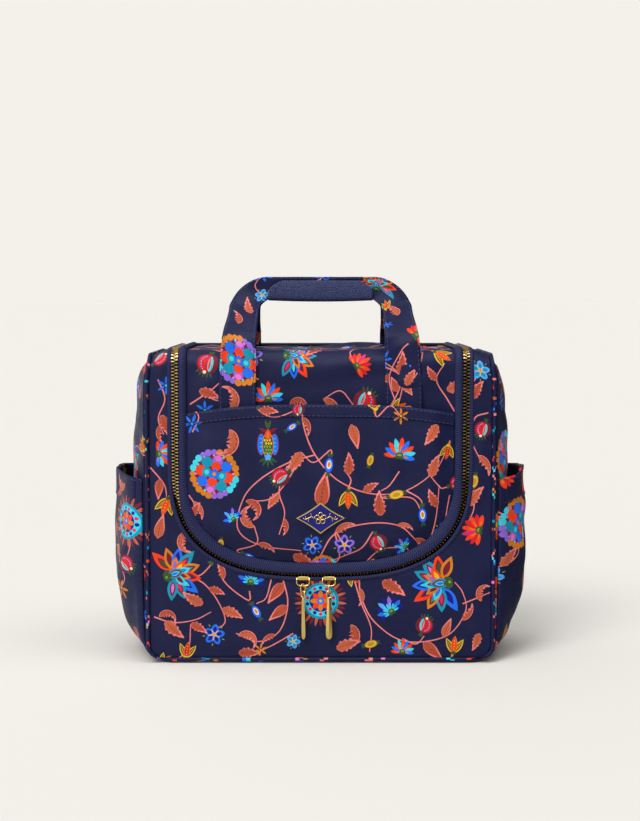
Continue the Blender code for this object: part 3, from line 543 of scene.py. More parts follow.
def curl(k=0):
    return leaf(k, 30.0, 11.5, 3.0, 5, plume=True)


def plume(k=0):
    return leaf(k, 24.0, 10.5, 1.5, 4, plume=True)


def bean(k=0):
    return leaf(k, 25.0, 10.0, 0.15, 1)


MOTIFS = {f.__name__: f for f in (rosette, lotus, fan, thistle, tulip, pomegranate, daisy, bud, star,
                                  burst, leaf, curl, plume, bean)}
REACH = {"rosette": 21, "lotus": 24, "fan": 14, "thistle": 17, "tulip": 10, "pomegranate": 11,
         "daisy": 11, "bud": 9, "star": 8, "burst": 21, "leaf": 11, "curl": 11, "plume": 11, "bean": 12}


def placed(kind, x, y, angle=0.0, size=1.0, k=0, flip=1):
    """A motif's shapes, put down at x, y (mm) and turned clockwise by angle."""
    shapes = MOTIFS[kind](k)
    return [(turned(p[:, 0] * size * flip, p[:, 1] * size, angle, (x, y)), ink) for p, ink in shapes]


def spline(points, step=2.0):
    """A smooth line through points (Catmull-Rom)."""
    p = np.array(points, float)
    p = np.concatenate([[2 * p[0] - p[1]], p, [2 * p[-1] - p[-2]]])
    found = []
    for i in range(1, len(p) - 2):
        t = np.linspace(0, 1, 12, endpoint=False)[:, None]
        a, b, c, d = p[i - 1:i + 3]
        found.append(0.5 * (2 * b + (c - a) * t + (2 * a - 5 * b + 4 * c - d) * t ** 2
                            + (3 * b - a - 3 * c + d) * t ** 3))
    return evenly(np.concatenate([*found, p[-2:-1]]), step)


def stem(points, width=1.05):
    line = spline(points)
    run = np.gradient(line, axis=0)
    side = np.stack([-run[:, 1], run[:, 0]], -1) / np.linalg.norm(run, axis=1)[:, None]
    taper = (width / 2 * (1 - 0.35 * np.linspace(0, 1, len(line))))[:, None]
    return [(np.concatenate([line + side * taper, (line - side * taper)[::-1]]), "stem")]


def clear(x, y, reach, spots, gap):
    return all(math.hypot(x - sx, y - sy) > (reach + r) * 0.92 + gap for sx, sy, r in spots)


def vine(points, spots, rng, every=15.0):
    """A stem with leaves that leave it on alternate sides wherever there is room."""
    shapes = stem(points)
    line = spline(points, 1.0)
    side = rng.choice((-1, 1))
    at = rng.uniform(5, 10)
    while at < len(line) - 3:
        i = int(at)
        dx, dy = line[i + 1] - line[i - 1]
        heading = math.degrees(math.atan2(dx, dy)) + side * rng.uniform(35, 60)
        kind = rng.choice(("leaf", "plume", "leaf", "plume", "bean"))
        size = rng.uniform(0.50, 0.80)
        reach = 11 * size
        turn = math.radians(heading)
        x, y = line[i][0] + reach * math.sin(turn), line[i][1] + reach * math.cos(turn)
        if clear(x, y, reach * 0.8, spots, 1.0):
            spots.append((x, y, reach))
            shapes += placed(kind, line[i][0], line[i][1], heading, size, rng.randrange(2), -side)
            at += every * rng.uniform(0.8, 1.3)
            side = -side
        else:
            at += 4
            side = -side
    return shapes


def filled(low, high, seed, layout=(), stems=()):
    """A trailing floral over a rectangle (mm): a layout of flowers and stems first, then smaller ones kept
    clear of them wherever there is room."""
    rng = random.Random(seed)
    spots = [(i[1], i[2], REACH[i[0]] * i[4]) for i in layout]
    flowers, vines = [], list(stems)
    big = ["rosette", "lotus", "lotus", "fan", "thistle", "burst"]
    small = ["fan", "tulip", "pomegranate", "daisy", "bud", "star", "tulip", "bud", "pomegranate", "daisy"]
    area = (high[0] - low[0]) * (high[1] - low[1])
    groups = ((small, 1 / 1500, 3.5),) if layout else ((big, 1 / 5200, 6), (small, 1 / 1300, 3.5))
    for kinds, share, gap in groups:
        for _ in range(max(1, int(area * share))):
            kind = rng.choice(kinds)
            size = rng.uniform(0.72, 0.95) if kinds is small else rng.uniform(0.85, 0.98)
            for _ in range(50):
                x, y = rng.uniform(low[0] - 4, high[0] + 4), rng.uniform(low[1] - 4, high[1] + 4)
                if clear(x, y, REACH[kind] * size, spots, gap):
                    spots.append((x, y, REACH[kind] * size))
                    flowers.append((kind, x, y, rng.uniform(0, 360), size, rng.randrange(3),
                                    rng.choice((-1, 1))))
                    break
    for kind, x, y, turn, size, _, _ in flowers:
        if kind == "rosette":
            continue
        angle = math.radians(turn)
        back = REACH[kind] * size * 0.55
        x0, y0 = x - back * math.sin(angle), y - back * math.cos(angle)
        ends = sorted((o for o in spots if math.hypot(o[0] - x, o[1] - y) > 6),
                      key=lambda o: math.hypot(o[0] - x, o[1] - y))
        other = ends[rng.randrange(min(3, len(ends)))] if ends else (x, y + 30, 5)
        dx, dy = other[0] - x0, other[1] - y0
        far = max(1e-6, math.hypot(dx, dy))
        sway = rng.choice((-1, 1)) * far * 0.24
        vines.append([(x0, y0), (x0 - 7 * math.sin(angle), y0 - 7 * math.cos(angle)),
                      ((x0 + other[0]) / 2 - dy / far * sway, (y0 + other[1]) / 2 + dx / far * sway),
                      (other[0], other[1])])
    shapes = []
    for line in vines:
        shapes += vine(line, spots, rng)
    for _ in range(int(area / 420)):
        kind = rng.choice(("leaf", "plume", "curl", "star", "bud", "leaf"))
        size = rng.uniform(0.5, 0.8)
        x, y = rng.uniform(low[0], high[0]), rng.uniform(low[1], high[1])
        if clear(x, y, REACH[kind] * size * 0.9, spots, 2.0):
            spots.append((x, y, REACH[kind] * size))
            flowers.append((kind, x, y, rng.uniform(0, 360), size, rng.randrange(2), rng.choice((-1, 1))))
    for item in (*layout, *flowers):
        shapes += placed(*item)
    return shapes


# Layouts of the front pieces, in mm: kind, across, up, turn, size, variant
FRAME_PRINT = filled((-125, 4), (125, 334), 101, [
    ("lotus", -107, 66, 70, 0.92, 1), ("tulip", -113, 116, 200, 0.9, 0), ("daisy", -78, 21, 10, 0.8, 0),
    ("leaf", -86, 44, -70, 0.75, 0), ("leaf", -95, 29, 110, 0.6, 1), ("bud", -47, 38, 150, 0.8, 0),
    ("curl", -60, 20, 40, 0.7, 0), ("tulip", -98, 9, 10, 0.8, 1), ("daisy", -20, 16, 20, 0.55, 1),
    ("burst", 0, 46, 0, 0.92, 0), ("curl", 22, 28, 115, 0.85, 1), ("leaf", 12, 10, 60, 0.8, 0),
    ("fan", 52, 38, -35, 0.85, 1), ("lotus", 88, 59, -95, 0.98, 3), ("pomegranate", 76, 28, 20, 0.85, 0),
    ("leaf", 45, 60, 110, 0.85, 1), ("bud", 37, 14, 75, 0.7, 1), ("tulip", 98, 13, 5, 0.85, 0),
    ("fan", 116, 98, -80, 0.95, 2), ("leaf", 107, 116, 30, 0.8, 0), ("bud", 112, 134, 10, 0.7, 1),
    ("pomegranate", 118, 172, 200, 0.8, 0), ("leaf", 110, 194, 20, 0.7, 1), ("curl", 118, 46, -60, 0.6, 0),
    ("fan", -118, 154, 90, 0.8, 0), ("leaf", -116, 182, 150, 0.7, 1), ("bean", -119, 92, 10, 0.7, 0),
    ("star", -112, 204, 0, 0.8, 0), ("daisy", 116, 216, 0, 0.8, 1), ("leaf", -60, 7, 80, 0.7, 1),
    ("star", -44, 10, 10, 0.6, 1), ("fan", 60, 8, 5, 0.7, 0), ("leaf", 116, 22, 190, 0.6, 0),
    ("curl", -118, 34, 20, 0.6, 1), ("pomegranate", -117, 226, 60, 0.8, 1), ("tulip", 116, 244, 120, 0.8, 0),
    ("leaf", -115, 259, 0, 0.8, 0), ("daisy", 114, 279, 0, 0.8, 0), ("fan", -116, 294, 30, 0.8, 2),
    ("bud", 116, 309, 20, 0.8, 0),
], [
    [(-28, 64), (-24, 44), (-30, 24), (-45, 16), (-62, 22)], [(-36, 62), (-40, 48), (-47, 44)],
    [(28, 64), (30, 48), (40, 30), (62, 16), (92, 20), (106, 38), (104, 52), (98, 60)],
    [(24, 64), (30, 44), (37, 26), (36, 8)], [(-97, 66), (-84, 58), (-74, 44), (-70, 30), (-80, 24)],
    [(-122, 34), (-108, 30), (-92, 32), (-80, 38)], [(104, 44), (114, 48), (124, 52)],
    [(108, 132), (112, 116), (108, 104)],
    [(-124, 144), (-114, 132), (-112, 122)], [(-118, 209), (-113, 194), (-118, 180), (-114, 168)],
    [(122, 184), (112, 180), (110, 164), (116, 150)], [(60, 18), (70, 14), (76, 20)],
    [(-20, 22), (-34, 14), (-50, 6)],
])
POCKET_PRINT = filled((-98, 70), (98, 192), 102, [
    ("rosette", -77, 140, 15, 0.88, 0), ("thistle", -38, 162, 0, 0.84, 0), ("curl", -66, 172, 120, 0.95, 0),
    ("star", -93, 176, 20, 0.85, 0), ("leaf", -14, 156, 205, 0.82, 0), ("bean", 0, 116, 5, 1.0, 1),
    ("fan", 57, 153, 10, 0.95, 0), ("tulip", 20, 122, 180, 0.9, 0), ("leaf", 44, 110, -15, 0.8, 1),
    ("pomegranate", 42, 90, 160, 0.85, 0), ("bud", 74, 110, 175, 0.85, 0), ("fan", 62, 86, -60, 0.62, 1),
    ("leaf", 80, 138, 10, 0.75, 0), ("curl", -54, 120, 70, 0.72, 1), ("curl", -48, 102, -100, 0.75, 0),
    ("fan", -63, 107, -30, 0.62, 1), ("bud", 36, 150, 15, 0.6, 1), ("leaf", -20, 80, 110, 0.8, 1),
    ("daisy", -6, 88, 30, 0.72, 0), ("bud", -73, 88, 10, 0.6, 1), ("tulip", 92, 156, 190, 0.7, 1),
    ("leaf", 84, 176, 200, 0.75, 0), ("bean", 22, 176, 160, 0.7, 0), ("star", 58, 182, 0, 0.7, 1),
    ("leaf", -94, 108, 20, 0.55, 1), ("pomegranate", -16, 187, 190, 0.6, 0), ("rosette", 2, 70, 0, 0.5, 1),
], [
    [(-14, 194), (-12, 174), (-4, 154), (12, 136), (36, 126), (62, 128), (84, 144), (94, 164)],
    [(-4, 154), (-24, 148), (-44, 136), (-56, 122), (-60, 100), (-44, 88), (-14, 84)],
    [(-24, 146), (-30, 128), (-26, 112), (-30, 96)], [(62, 128), (72, 122), (74, 116)],
    [(57, 142), (50, 132), (44, 128)],
    [(-2, 76), (10, 96), (34, 104), (58, 102), (76, 86), (88, 96), (94, 124)],
    [(80, 90), (84, 108), (86, 132)],
    [(20, 130), (22, 136), (18, 142)], [(-93, 170), (-88, 182), (-98, 190)],
    [(-96, 124), (-92, 116), (-98, 100)],
    [(38, 98), (30, 86), (18, 80), (4, 74)],
])
LID_PRINT = filled((-98, 184), (98, 338), 103, [
    ("fan", -38, 194, 0, 0.9, 0), ("curl", 2, 194, 90, 0.95, 0), ("curl", -22, 190, 20, 0.6, 1),
    ("pomegranate", 32, 192, 30, 1.1, 0), ("leaf", 92, 200, 60, 0.8, 0), ("leaf", -88, 200, 100, 0.7, 1),
    ("star", -84, 186, 0, 0.8, 0), ("pomegranate", -82, 220, 200, 1.05, 1), ("leaf", 62, 204, 20, 0.6, 0),
    ("lotus", -20, 226, 90, 0.8, 0), ("fan", 26, 218, 60, 0.8, 2), ("tulip", 88, 226, 120, 0.9, 0),
    ("rosette", 60, 256, 0, 0.9, 2), ("lotus", -60, 266, 40, 0.9, 2), ("thistle", 8, 266, 80, 0.9, 0),
    ("daisy", -16, 296, 0, 0.9, 1), ("curl", 40, 294, 30, 0.9, 1), ("leaf", -88, 300, 120, 0.9, 0),
    ("burst", 84, 308, 0, 0.8, 0), ("fan", -40, 322, 200, 0.9, 0), ("bud", 20, 326, 60, 0.9, 0),
    ("leaf", 0, 244, 200, 0.9, 1), ("bean", -94, 248, 0, 0.8, 0), ("tulip", 26, 182, 180, 0.8, 1),
], [
    [(-95, 190), (-80, 200), (-66, 210), (-50, 204)], [(30, 180), (22, 192), (14, 200), (2, 194)],
    [(98, 184), (92, 194), (84, 208), (90, 220)],
    [(-90, 254), (-70, 244), (-40, 248), (-10, 254), (20, 244), (40, 254)],
    [(40, 304), (20, 300), (-6, 304), (-40, 310), (-70, 302)], [(60, 266), (70, 288), (84, 304)],
])


# ---------------------------------------------------------------- mesh making
def linked(name, mesh):
    obj = bpy.data.objects.new(name, mesh)
    collection.objects.link(obj)
    return obj


def new_object(name, points, faces, material, smooth_shade=True):
    mesh = bpy.data.meshes.new(name)
    mesh.from_pydata([tuple(p) for p in points], [], [tuple(f) for f in faces])
    mesh.materials.append(material)
    if smooth_shade:
        mesh.polygons.foreach_set("use_smooth", [True] * len(mesh.polygons))
    mesh.update()
    return linked(name, mesh)


def finish_piece(obj, body, nodes=()):
    """Puts a finished piece on its body when one body is named, else only bakes its placement in; either way
    in place of the CAD nodes it stands for.
    """
    if isinstance(body, str):
        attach(obj, body)
    else:
        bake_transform(obj)
    for node in nodes:
        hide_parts(node)
    return obj


def apply_modifiers(obj):
    bpy.context.view_layer.update()
    made = bpy.data.meshes.new_from_object(obj.evaluated_get(bpy.context.evaluated_depsgraph_get()))
    obj.modifiers.clear()
    obj.data = made
    return obj


def thicken(obj, thickness, offset=-1.0):
    solid = obj.modifiers.new("thickness", "SOLIDIFY")
    solid.thickness = thickness
    solid.offset = offset
    return apply_modifiers(obj)


def in_polygon(points, polygon):
    x, y = points[:, 0], points[:, 1]
    inside = np.zeros(len(points), bool)
    x0, y0 = polygon[:, 0], polygon[:, 1]
    x1, y1 = np.roll(x0, -1), np.roll(y0, -1)
    for a, b, c, d in zip(x0, y0, x1, y1):
        if b == d:
            continue
        inside ^= ((b > y) != (d > y)) & (x < (c - a) * (y - b) / (d - b) + a)
    return inside


def printed(name, border, shapes, to_space, thickness, grid=2.4, material=None):
    """A printed panel: its flat outline (m) is filled with triangles that follow every edge of the print,
    each triangle takes its ink, and to_space bends the flat pattern into place."""
    border_mm = np.asarray(border) / MM
    low, high = border_mm.min(0), border_mm.max(0)
    points, edges = [], []

    def add_loop(loop):
        first = len(points)
        points.extend(map(tuple, loop))
        edges.extend((first + i, first + (i + 1) % len(loop)) for i in range(len(loop)))

    add_loop(border_mm)
    used = []
    for shape, ink in shapes:
        if (shape.max(0) > low).all() and (shape.min(0) < high).all():
            add_loop(shape)
            used.append((shape, ink))
    xs, ys = np.arange(low[0], high[0] + grid, grid), np.arange(low[1], high[1] + grid, grid)
    gx, gy = np.meshgrid(xs, ys)
    gx = gx + grid / 2 * (np.arange(len(ys)) % 2)[:, None]
    lattice = np.stack([gx.ravel(), gy.ravel()], -1)
    points.extend(map(tuple, lattice[in_polygon(lattice, border_mm)]))
    found = delaunay_2d_cdt([Vector(p) for p in points], edges, [], 0, 1e-3, True)
    flat = np.array([tuple(p) for p in found[0]])
    faces = np.array([f for f in found[2] if len(f) == 3])
    centres = flat[faces].mean(1)
    keep = in_polygon(centres, border_mm)
    faces, centres = faces[keep], centres[keep]
    ink = np.full(len(faces), INK_NAMES.index("navy"))
    for shape, colour in used:
        box_low, box_high = shape.min(0), shape.max(0)
        near = np.nonzero(((centres >= box_low) & (centres <= box_high)).all(1))[0]
        if len(near):
            ink[near[in_polygon(centres[near], shape)]] = INK_NAMES.index(colour)
    a, b, c = flat[faces].transpose(1, 0, 2)
    area = np.cross(b - a, c - a)
    faces[area < 0] = faces[area < 0][:, ::-1]
    kept, index = np.unique(faces, return_inverse=True)
    faces = index.reshape(-1, 3)
    flat = flat[kept] * MM
    obj = new_object(name, to_space(flat[:, 0], flat[:, 1]), faces, material or PRINT)
    colours = obj.data.color_attributes.new("print", "FLOAT_COLOR", "CORNER")
    rgba = np.ones((len(faces) * 3, 4), np.float32)
    rgba[:, :3] = np.repeat(INK_TABLE[ink], 3, axis=0)
    colours.data.foreach_set("color", rgba.ravel())
    if thickness:
        thicken(obj, thickness)
    return obj


def lattice_sheet(name, rows, material, thickness=0.0, attributes=None):
    """A sheet through rows of points; attributes are (name, rows of numbers) kept on the points."""
    rows = np.asarray(rows, float)
    height, width = rows.shape[:2]
    index = np.arange(height * width).reshape(height, width)
    faces = np.stack([index[:-1, :-1], index[:-1, 1:], index[1:, 1:], index[1:, :-1]], -1).reshape(-1, 4)
    obj = new_object(name, rows.reshape(-1, 3), faces, material)
    for key, values in (attributes or {}).items():
        layer = obj.data.attributes.new(key, "FLOAT", "POINT")
        layer.data.foreach_set("value", np.asarray(values, np.float32).ravel())
    if thickness:
        thicken(obj, thickness)
    return obj


def tube(name, points, radius, material, closed=False, sides=12, print_seed=None):
    """A round cord through points, its ends closed by caps. One bound in the printed cloth shows slivers of
    the print."""
    p = np.asarray(points, float)
    run = np.roll(p, -1, 0) - np.roll(p, 1, 0) if closed else np.gradient(p, axis=0)
    run /= np.linalg.norm(run, axis=1)[:, None]
    side = np.cross(run[0], [0, 0, 1.0]) if abs(run[0][2]) < 0.9 else np.cross(run[0], [0, 1.0, 0])
    frames = []
    for r in run:
        side = side - r * np.dot(side, r)
        side /= np.linalg.norm(side)
        frames.append((side.copy(), np.cross(r, side)))
    t = np.arange(sides) * 2 * math.pi / sides
    radii = np.broadcast_to(radius, (len(p),))
    rings = [c + rad * (np.cos(t)[:, None] * a + np.sin(t)[:, None] * b)
             for c, rad, (a, b) in zip(p, radii, frames)]
    count = len(p)
    faces = []
    for i in range(count if closed else count - 1):
        for j in range(sides):
            a, b = i * sides + j, i * sides + (j + 1) % sides
            c, d = ((i + 1) % count) * sides + (j + 1) % sides, ((i + 1) % count) * sides + j
            faces.append((a, b, c, d))
    if not closed:
        faces += [tuple(range(sides))[::-1], tuple((count - 1) * sides + j for j in range(sides))]
    obj = new_object(name, np.concatenate(rings), faces, material)
    if print_seed is not None:
        rng = random.Random(print_seed)
        rgba = np.ones((len(obj.data.loops), 4), np.float32)
        rgba[:, :3] = INK["navy"]
        faces_left = count - 1
        for _ in range(int(faces_left * 0.36)):
            ring, side = rng.randrange(faces_left), rng.randrange(sides)
            ink = INK[rng.choice(("stem", "stem", "coral", "cyan", "red", "blue", "ochre", "teal", "pink"))]
            slant = rng.choice((-1, 0, 1))
            for step in range(rng.randint(2, 6)):
                face = min(max(ring + slant * (step // 2), 0), faces_left - 1) * sides + (side + step) % sides
                rgba[face * 4:face * 4 + 4, :3] = ink
        colours = obj.data.color_attributes.new("print", "FLOAT_COLOR", "CORNER")
        colours.data.foreach_set("color", rgba.ravel())
    return obj


def bars(name, frames, material, half, taper=0.8):
    """Many small blocks as one mesh: frames are (centre, across, along, out) and half their half sizes."""
    points, faces = [], []
    corners = [(-1, -1, -1), (1, -1, -1), (1, 1, -1), (-1, 1, -1), (-1, -1, 1), (1, -1, 1), (1, 1, 1),
               (-1, 1, 1)]
    sides = [(0, 3, 2, 1), (4, 5, 6, 7), (0, 1, 5, 4), (1, 2, 6, 5), (2, 3, 7, 6), (3, 0, 4, 7)]
    for c, a, b, n in frames:
        first = len(points)
        for x, y, z in corners:
            k = taper if z > 0 else 1.0
            points.append(c + a * x * half[0] * k + b * y * half[1] * k + n * z * half[2])
        faces += [tuple(first + i for i in f) for f in sides]
    return new_object(name, points, faces, material, False)


def unit(v):
    v = np.asarray(v, float)
    return v / np.maximum(1e-12, np.linalg.norm(v, axis=-1, keepdims=True))


def stitches(name, lines, body, length=0.0023, gap=0.0011, width=0.00028, lift=0.00012):
    """Rows of stitches along lines of points on a surface, as small raised threads."""
    frames = []
    for line, normal in lines:
        line = np.asarray(line, float)
        even = evenly(line, length + gap)
        middle = (even[1:] + even[:-1]) / 2
        along = unit(even[1:] - even[:-1])
        nearest = [np.argmin(((line - m) ** 2).sum(1)) for m in middle]
        if np.ndim(normal) > 1:
            out = unit(np.asarray(normal, float)[nearest])
        else:
            out = unit(np.tile(normal, (len(middle), 1)))
        across = unit(np.cross(along, out))
        frames += [(m + n * lift, a, b, n) for m, a, b, n in zip(middle, across, along, out)]
    obj = bars(name, frames, THREAD, (width, length / 2, 0.00016), 0.6)
    return finish_piece(obj, body)


def outward(to_space, u, v, step=0.0004):
    """Points of a surface and their normals."""
    p = to_space(u, v)
    n = np.cross(to_space(u + step, v) - to_space(u - step, v), to_space(u, v + step) - to_space(u, v - step))
    return p, unit(n)


# ---------------------------------------------------------------- case: front frame
def frame_space(u, v):
    edge = np.minimum(smooth(0, 0.012, HALF_WIDTH - np.abs(u)), smooth(0.003, 0.014, v))
    gap = np.abs(u) - zip_half(v, 0.003)
    under = np.hypot(np.maximum(0, gap), np.maximum(0, ZIP_CENTRE_Z - ZIP_DROP - v))
    below = np.where(v < ZIP_CENTRE_Z, under, gap)
    near_zip = smooth(0.0, 0.010, np.abs(below))
    pucker = ripple(u, v, 5, 0.011, 0.0003) * np.exp(-np.abs(below) / 0.007)
    puff = 0.0012 * edge + ripple(u, v, 3, 0.060, 0.0009) * edge * near_zip + pucker
    return slump(skin(u, v, -0.0003 + puff - 0.0004 * (1 - near_zip)))


FRAME_EDGE = 0.0032
t = np.linspace(0, math.pi / 2, 7)[1:-1]
inner = zip_path(FRAME_EDGE, OUTLINE_STEP)
cx, cz = HALF_WIDTH - CORNER_RADIUS, PANEL_BASE_Z + CORNER_RADIUS
outer = [(HALF_WIDTH, V_END), (HALF_WIDTH, cz)]
outer += [(cx + CORNER_RADIUS * math.cos(a), cz - CORNER_RADIUS * math.sin(a)) for a in t]
outer += [(cx, PANEL_BASE_Z), (-cx, PANEL_BASE_Z)]
outer += [(-cx - CORNER_RADIUS * math.sin(a), cz - CORNER_RADIUS * math.cos(a)) for a in t]
outer += [(-HALF_WIDTH, cz), (-HALF_WIDTH, V_END)]
outer = evenly(np.array(outer), OUTLINE_STEP)
frame_cloth = printed("front_frame_cloth", np.concatenate([inner, outer]), FRAME_PRINT, frame_space, 0.0022)
finish_piece(frame_cloth, "case", ["front_frame"])


# ---------------------------------------------------------------- lid, slip pocket
def lid_lift(u, v):
    """How far the lid's outer face stands off the plain shell."""
    inside = zip_half(v, -0.0085) - np.abs(u)
    up = v - (ZIP_CENTRE_Z - ZIP_DROP + 0.0085)
    rim = smooth(0.0, 0.016, np.minimum(inside, np.where(v < ZIP_CENTRE_Z, up * 1.4, inside)))
    on_top = smooth(ARC_START - 0.004, TOP_START + 0.010, v) * smooth(V_END, V_END - 0.020, v)
    sag = -0.0010 * on_top * (1 - np.clip(np.abs(u) / 0.100, 0, 1) ** 2)
    folds = ripple(u * 0.6, v * 1.5, 13, 0.045, 0.0012) * smooth(0.186, 0.212, v) * (1 - 0.6 * on_top)
    rim_gap = np.maximum(0, np.minimum(inside, np.where(v < ZIP_CENTRE_Z, up, inside)))
    pucker = ripple(u, v, 15, 0.012, 0.0005) * np.exp(-rim_gap / 0.007)
    waves = ripple(u, v, 11, 0.055, 0.0009) * (1 - 0.5 * on_top)
    return -0.0006 + (0.0012 * (1 - on_top) + waves + folds + pucker) * rim + sag


def lid_space(u, v):
    return skin(u, v, lid_lift(u, v))


LID_EDGE = -0.0034
lid_border = zip_path(LID_EDGE, OUTLINE_STEP)
lid_back = evenly(np.array([(lid_border[-1][0], V_END), (lid_border[0][0], V_END)]), OUTLINE_STEP)
lid_border = np.concatenate([lid_border, lid_back[1:-1]])
lid_cloth = printed("lid_cloth", lid_border, LID_PRINT, lid_space, 0.0020)
finish_piece(lid_cloth, "lid", ["lid_panel"])

POCKET_EDGE = LID_EDGE - 0.0048


def slip_mouth(u):
    return SLIP_MOUTH_Z - 0.0065 * np.abs(u / 0.096) ** 3.0


def pocket_space(u, v):
    a, b = ZIP_HALF_WIDTH + POCKET_EDGE, ZIP_DROP + POCKET_EDGE
    low = ZIP_CENTRE_Z - b * (1 - np.clip(np.abs(u) / a, 0, 1) ** ZIP_POWER) ** (1 / ZIP_POWER)
    above = np.where(v < ZIP_CENTRE_Z, (v - low) * 1.3, 1.0)
    inside = np.minimum(zip_half(v, POCKET_EDGE) - np.abs(u), above)
    rise = smooth(-0.002, 0.019, inside)
    up = np.clip((v - low) / (slip_mouth(u) - low), 0, 1)
    wrinkle = (ripple(u, v * 0.7, 23, 0.055, 0.0010) + ripple(u * 1.2, v * 0.8, 29, 0.026, 0.0003)) * rise
    fade = smooth(-0.002, 0.004, inside) * np.exp(-np.maximum(inside, 0) / 0.008)
    pucker = ripple(u, v, 27, 0.012, 0.0004) * fade
    settle = 1 - 0.18 * smooth(0.72, 1.0, up)
    return skin(u, v, 0.0008 + (SLIP_DEPTH + 0.0010) * rise * settle + wrinkle + pucker)


low_line = zip_path(POCKET_EDGE, OUTLINE_STEP)
low_line = low_line[low_line[:, 1] < slip_mouth(low_line[:, 0])]
a = low_line[-1][0]
mouth_u = np.linspace(a, -a, 84)[1:-1]
pocket_border = np.concatenate([low_line, np.stack([mouth_u, slip_mouth(mouth_u)], -1)])
pocket_cloth = printed("front_pocket_cloth", pocket_border, POCKET_PRINT, pocket_space, 0.0012)
finish_piece(pocket_cloth, "lid", ["front_pocket"])


def hem_space(u, v):
    p, n = outward(pocket_space, u, v)
    return p + n * (0.0005 + 0.0002 * smooth(0.0, 0.002, slip_mouth(u) - v))[:, None]


top = np.linspace(-a * 0.995, a * 0.995, 80)
hem_low = np.stack([top, slip_mouth(top) - 0.0085], -1)
hem_high = np.stack([top, slip_mouth(top) + 0.0004], -1)
hem_border = np.concatenate([hem_low, hem_high[::-1]])
hem = printed("front_pocket_hem_cloth", hem_border, POCKET_PRINT, hem_space, 0.0005)
finish_piece(hem, "lid", ["front_pocket_hem"])
rows = []
for drop in (0.0011, 0.0078):
    u = np.linspace(-a * 0.985, a * 0.985, 160)
    rows.append(outward(hem_space, u, slip_mouth(u) - drop))
seam = stitches("front_pocket_stitches", rows, "lid")


# ---------------------------------------------------------------- zip: tapes and teeth
def lean(v):
    """How far the zip is rolled under the lid's tape: not on the upright legs, fully along the bottom."""
    return smooth(0.142, 0.098, v)


def ribbon(name, low, high, n_low, n_high, crown, body, node, over=0.0, columns=9):
    """A tape that follows the zip between two distances from its centre line. Where the zip is rolled
    under, its edge next to the teeth reaches over them."""
    middle = zip_path(0.0, 0.0020)
    count = len(middle)
    rolled = lean(middle[:, 1])
    edges = [resample(zip_path(d, 0.0020), count) for d in (low, high)]
    reach = over * rolled[:, None]
    near = edges[1] + (middle - edges[1]) * reach if over else edges[1]
    rows, along, across = [], [], []
    for k in range(columns):
        s = k / (columns - 1)
        line = edges[0] + (near - edges[0]) * s
        n = n_low + (n_high + over * 0.0016 * rolled - n_low) * s + crown * math.sin(math.pi * s) ** 0.7
        rows.append(slump(skin(line[:, 0], line[:, 1], n)))
        along.append(walk(middle))
        across.append(np.full(count, (high - low) * s))
    obj = lattice_sheet(name, rows[::-1], TAPE, 0.0008, {"along": along[::-1], "across": across[::-1]})
    return finish_piece(obj, body, [node])


ribbon("lid_zip_tape_band", -0.0088, -0.0027, 0.0004, 0.0010, 0.0017, "lid", "lid_zip_tape", 0.90)
ribbon("case_zip_tape_band", 0.0050, 0.0027, -0.0002, 0.0006, 0.0010, "case", "case_zip_tape", 0.0, 5)


def teeth(name, body, node, side):
    """One row of metal teeth: small tapered blocks, their heads next to the other row, half a pitch off."""
    pitch = 0.00240
    middle = zip_path(0.0, pitch)
    away = resample(zip_path(0.002, pitch), len(middle))
    points = skin(middle[:, 0], middle[:, 1], 0.0)
    along = unit(np.gradient(points, axis=0))
    wide = unit(skin(away[:, 0], away[:, 1], 0.0) - points)
    wide = unit(wide - along * (wide * along).sum(1)[:, None])
    out = unit(np.cross(along, wide))
    out = np.where((out * (skin(middle[:, 0], middle[:, 1], 0.001) - points)).sum(1)[:, None] < 0, -out, out)
    turn = (math.radians(58) * lean(middle[:, 1]))[:, None]
    across = wide * np.cos(turn) - out * np.sin(turn)
    front = out * np.cos(turn) + wide * np.sin(turn)
    centre = (slump(points) - out * 0.0004 * np.sin(turn) + across * (0.00125 * side)
              + along * (pitch / 4 * side) + front * 0.0003)
    frames = list(zip(centre, across * side, along, front))
    feet = bars(name + "_feet", [(c + a * 0.00045, a, b, n) for c, a, b, n in frames], BRASS,
                (0.00085, 0.00058, 0.00090), 0.80)
    heads = bars(name, [(c - a * 0.00080, a, b, n) for c, a, b, n in frames], BRASS,
                 (0.00055, 0.00044, 0.00040), 0.7)
    return finish_piece(joined(name, [feet, heads]), body, [node])


def from_bmesh(name, made, material):
    mesh = bpy.data.meshes.new(name)
    made.to_mesh(mesh)
    made.free()
    mesh.materials.append(material)
    return linked(name, mesh)


def joined(name, parts):
    """Several mesh objects of one material as one."""
    made = bmesh.new()
    material = parts[0].data.materials[0]
    for part in parts:
        made.from_mesh(part.data)
    for part in parts:
        bpy.data.objects.remove(part, do_unlink=True)
    return from_bmesh(name, made, material)


teeth("lid_zip_teeth_row", "lid", "lid_zip_teeth", -1)
teeth("case_zip_teeth_row", "case", "case_zip_teeth", 1)

# ---------------------------------------------------------------- gussets, side pockets, piping
def side_front(z):
    inside = EDGE_RADIUS - 0.0020
    rise = np.clip(z - ARC_START, 0, inside)
    return -HALF_DEPTH + EDGE_RADIUS - np.sqrt(inside ** 2 - rise ** 2)


def gusset_swell(y, z):
    """The gusset bulges in its middle and runs flat into the base and the top seam."""
    return side_swell(y, z) * smooth(0.002, 0.018, z) * smooth(0.2300, 0.2190, z)


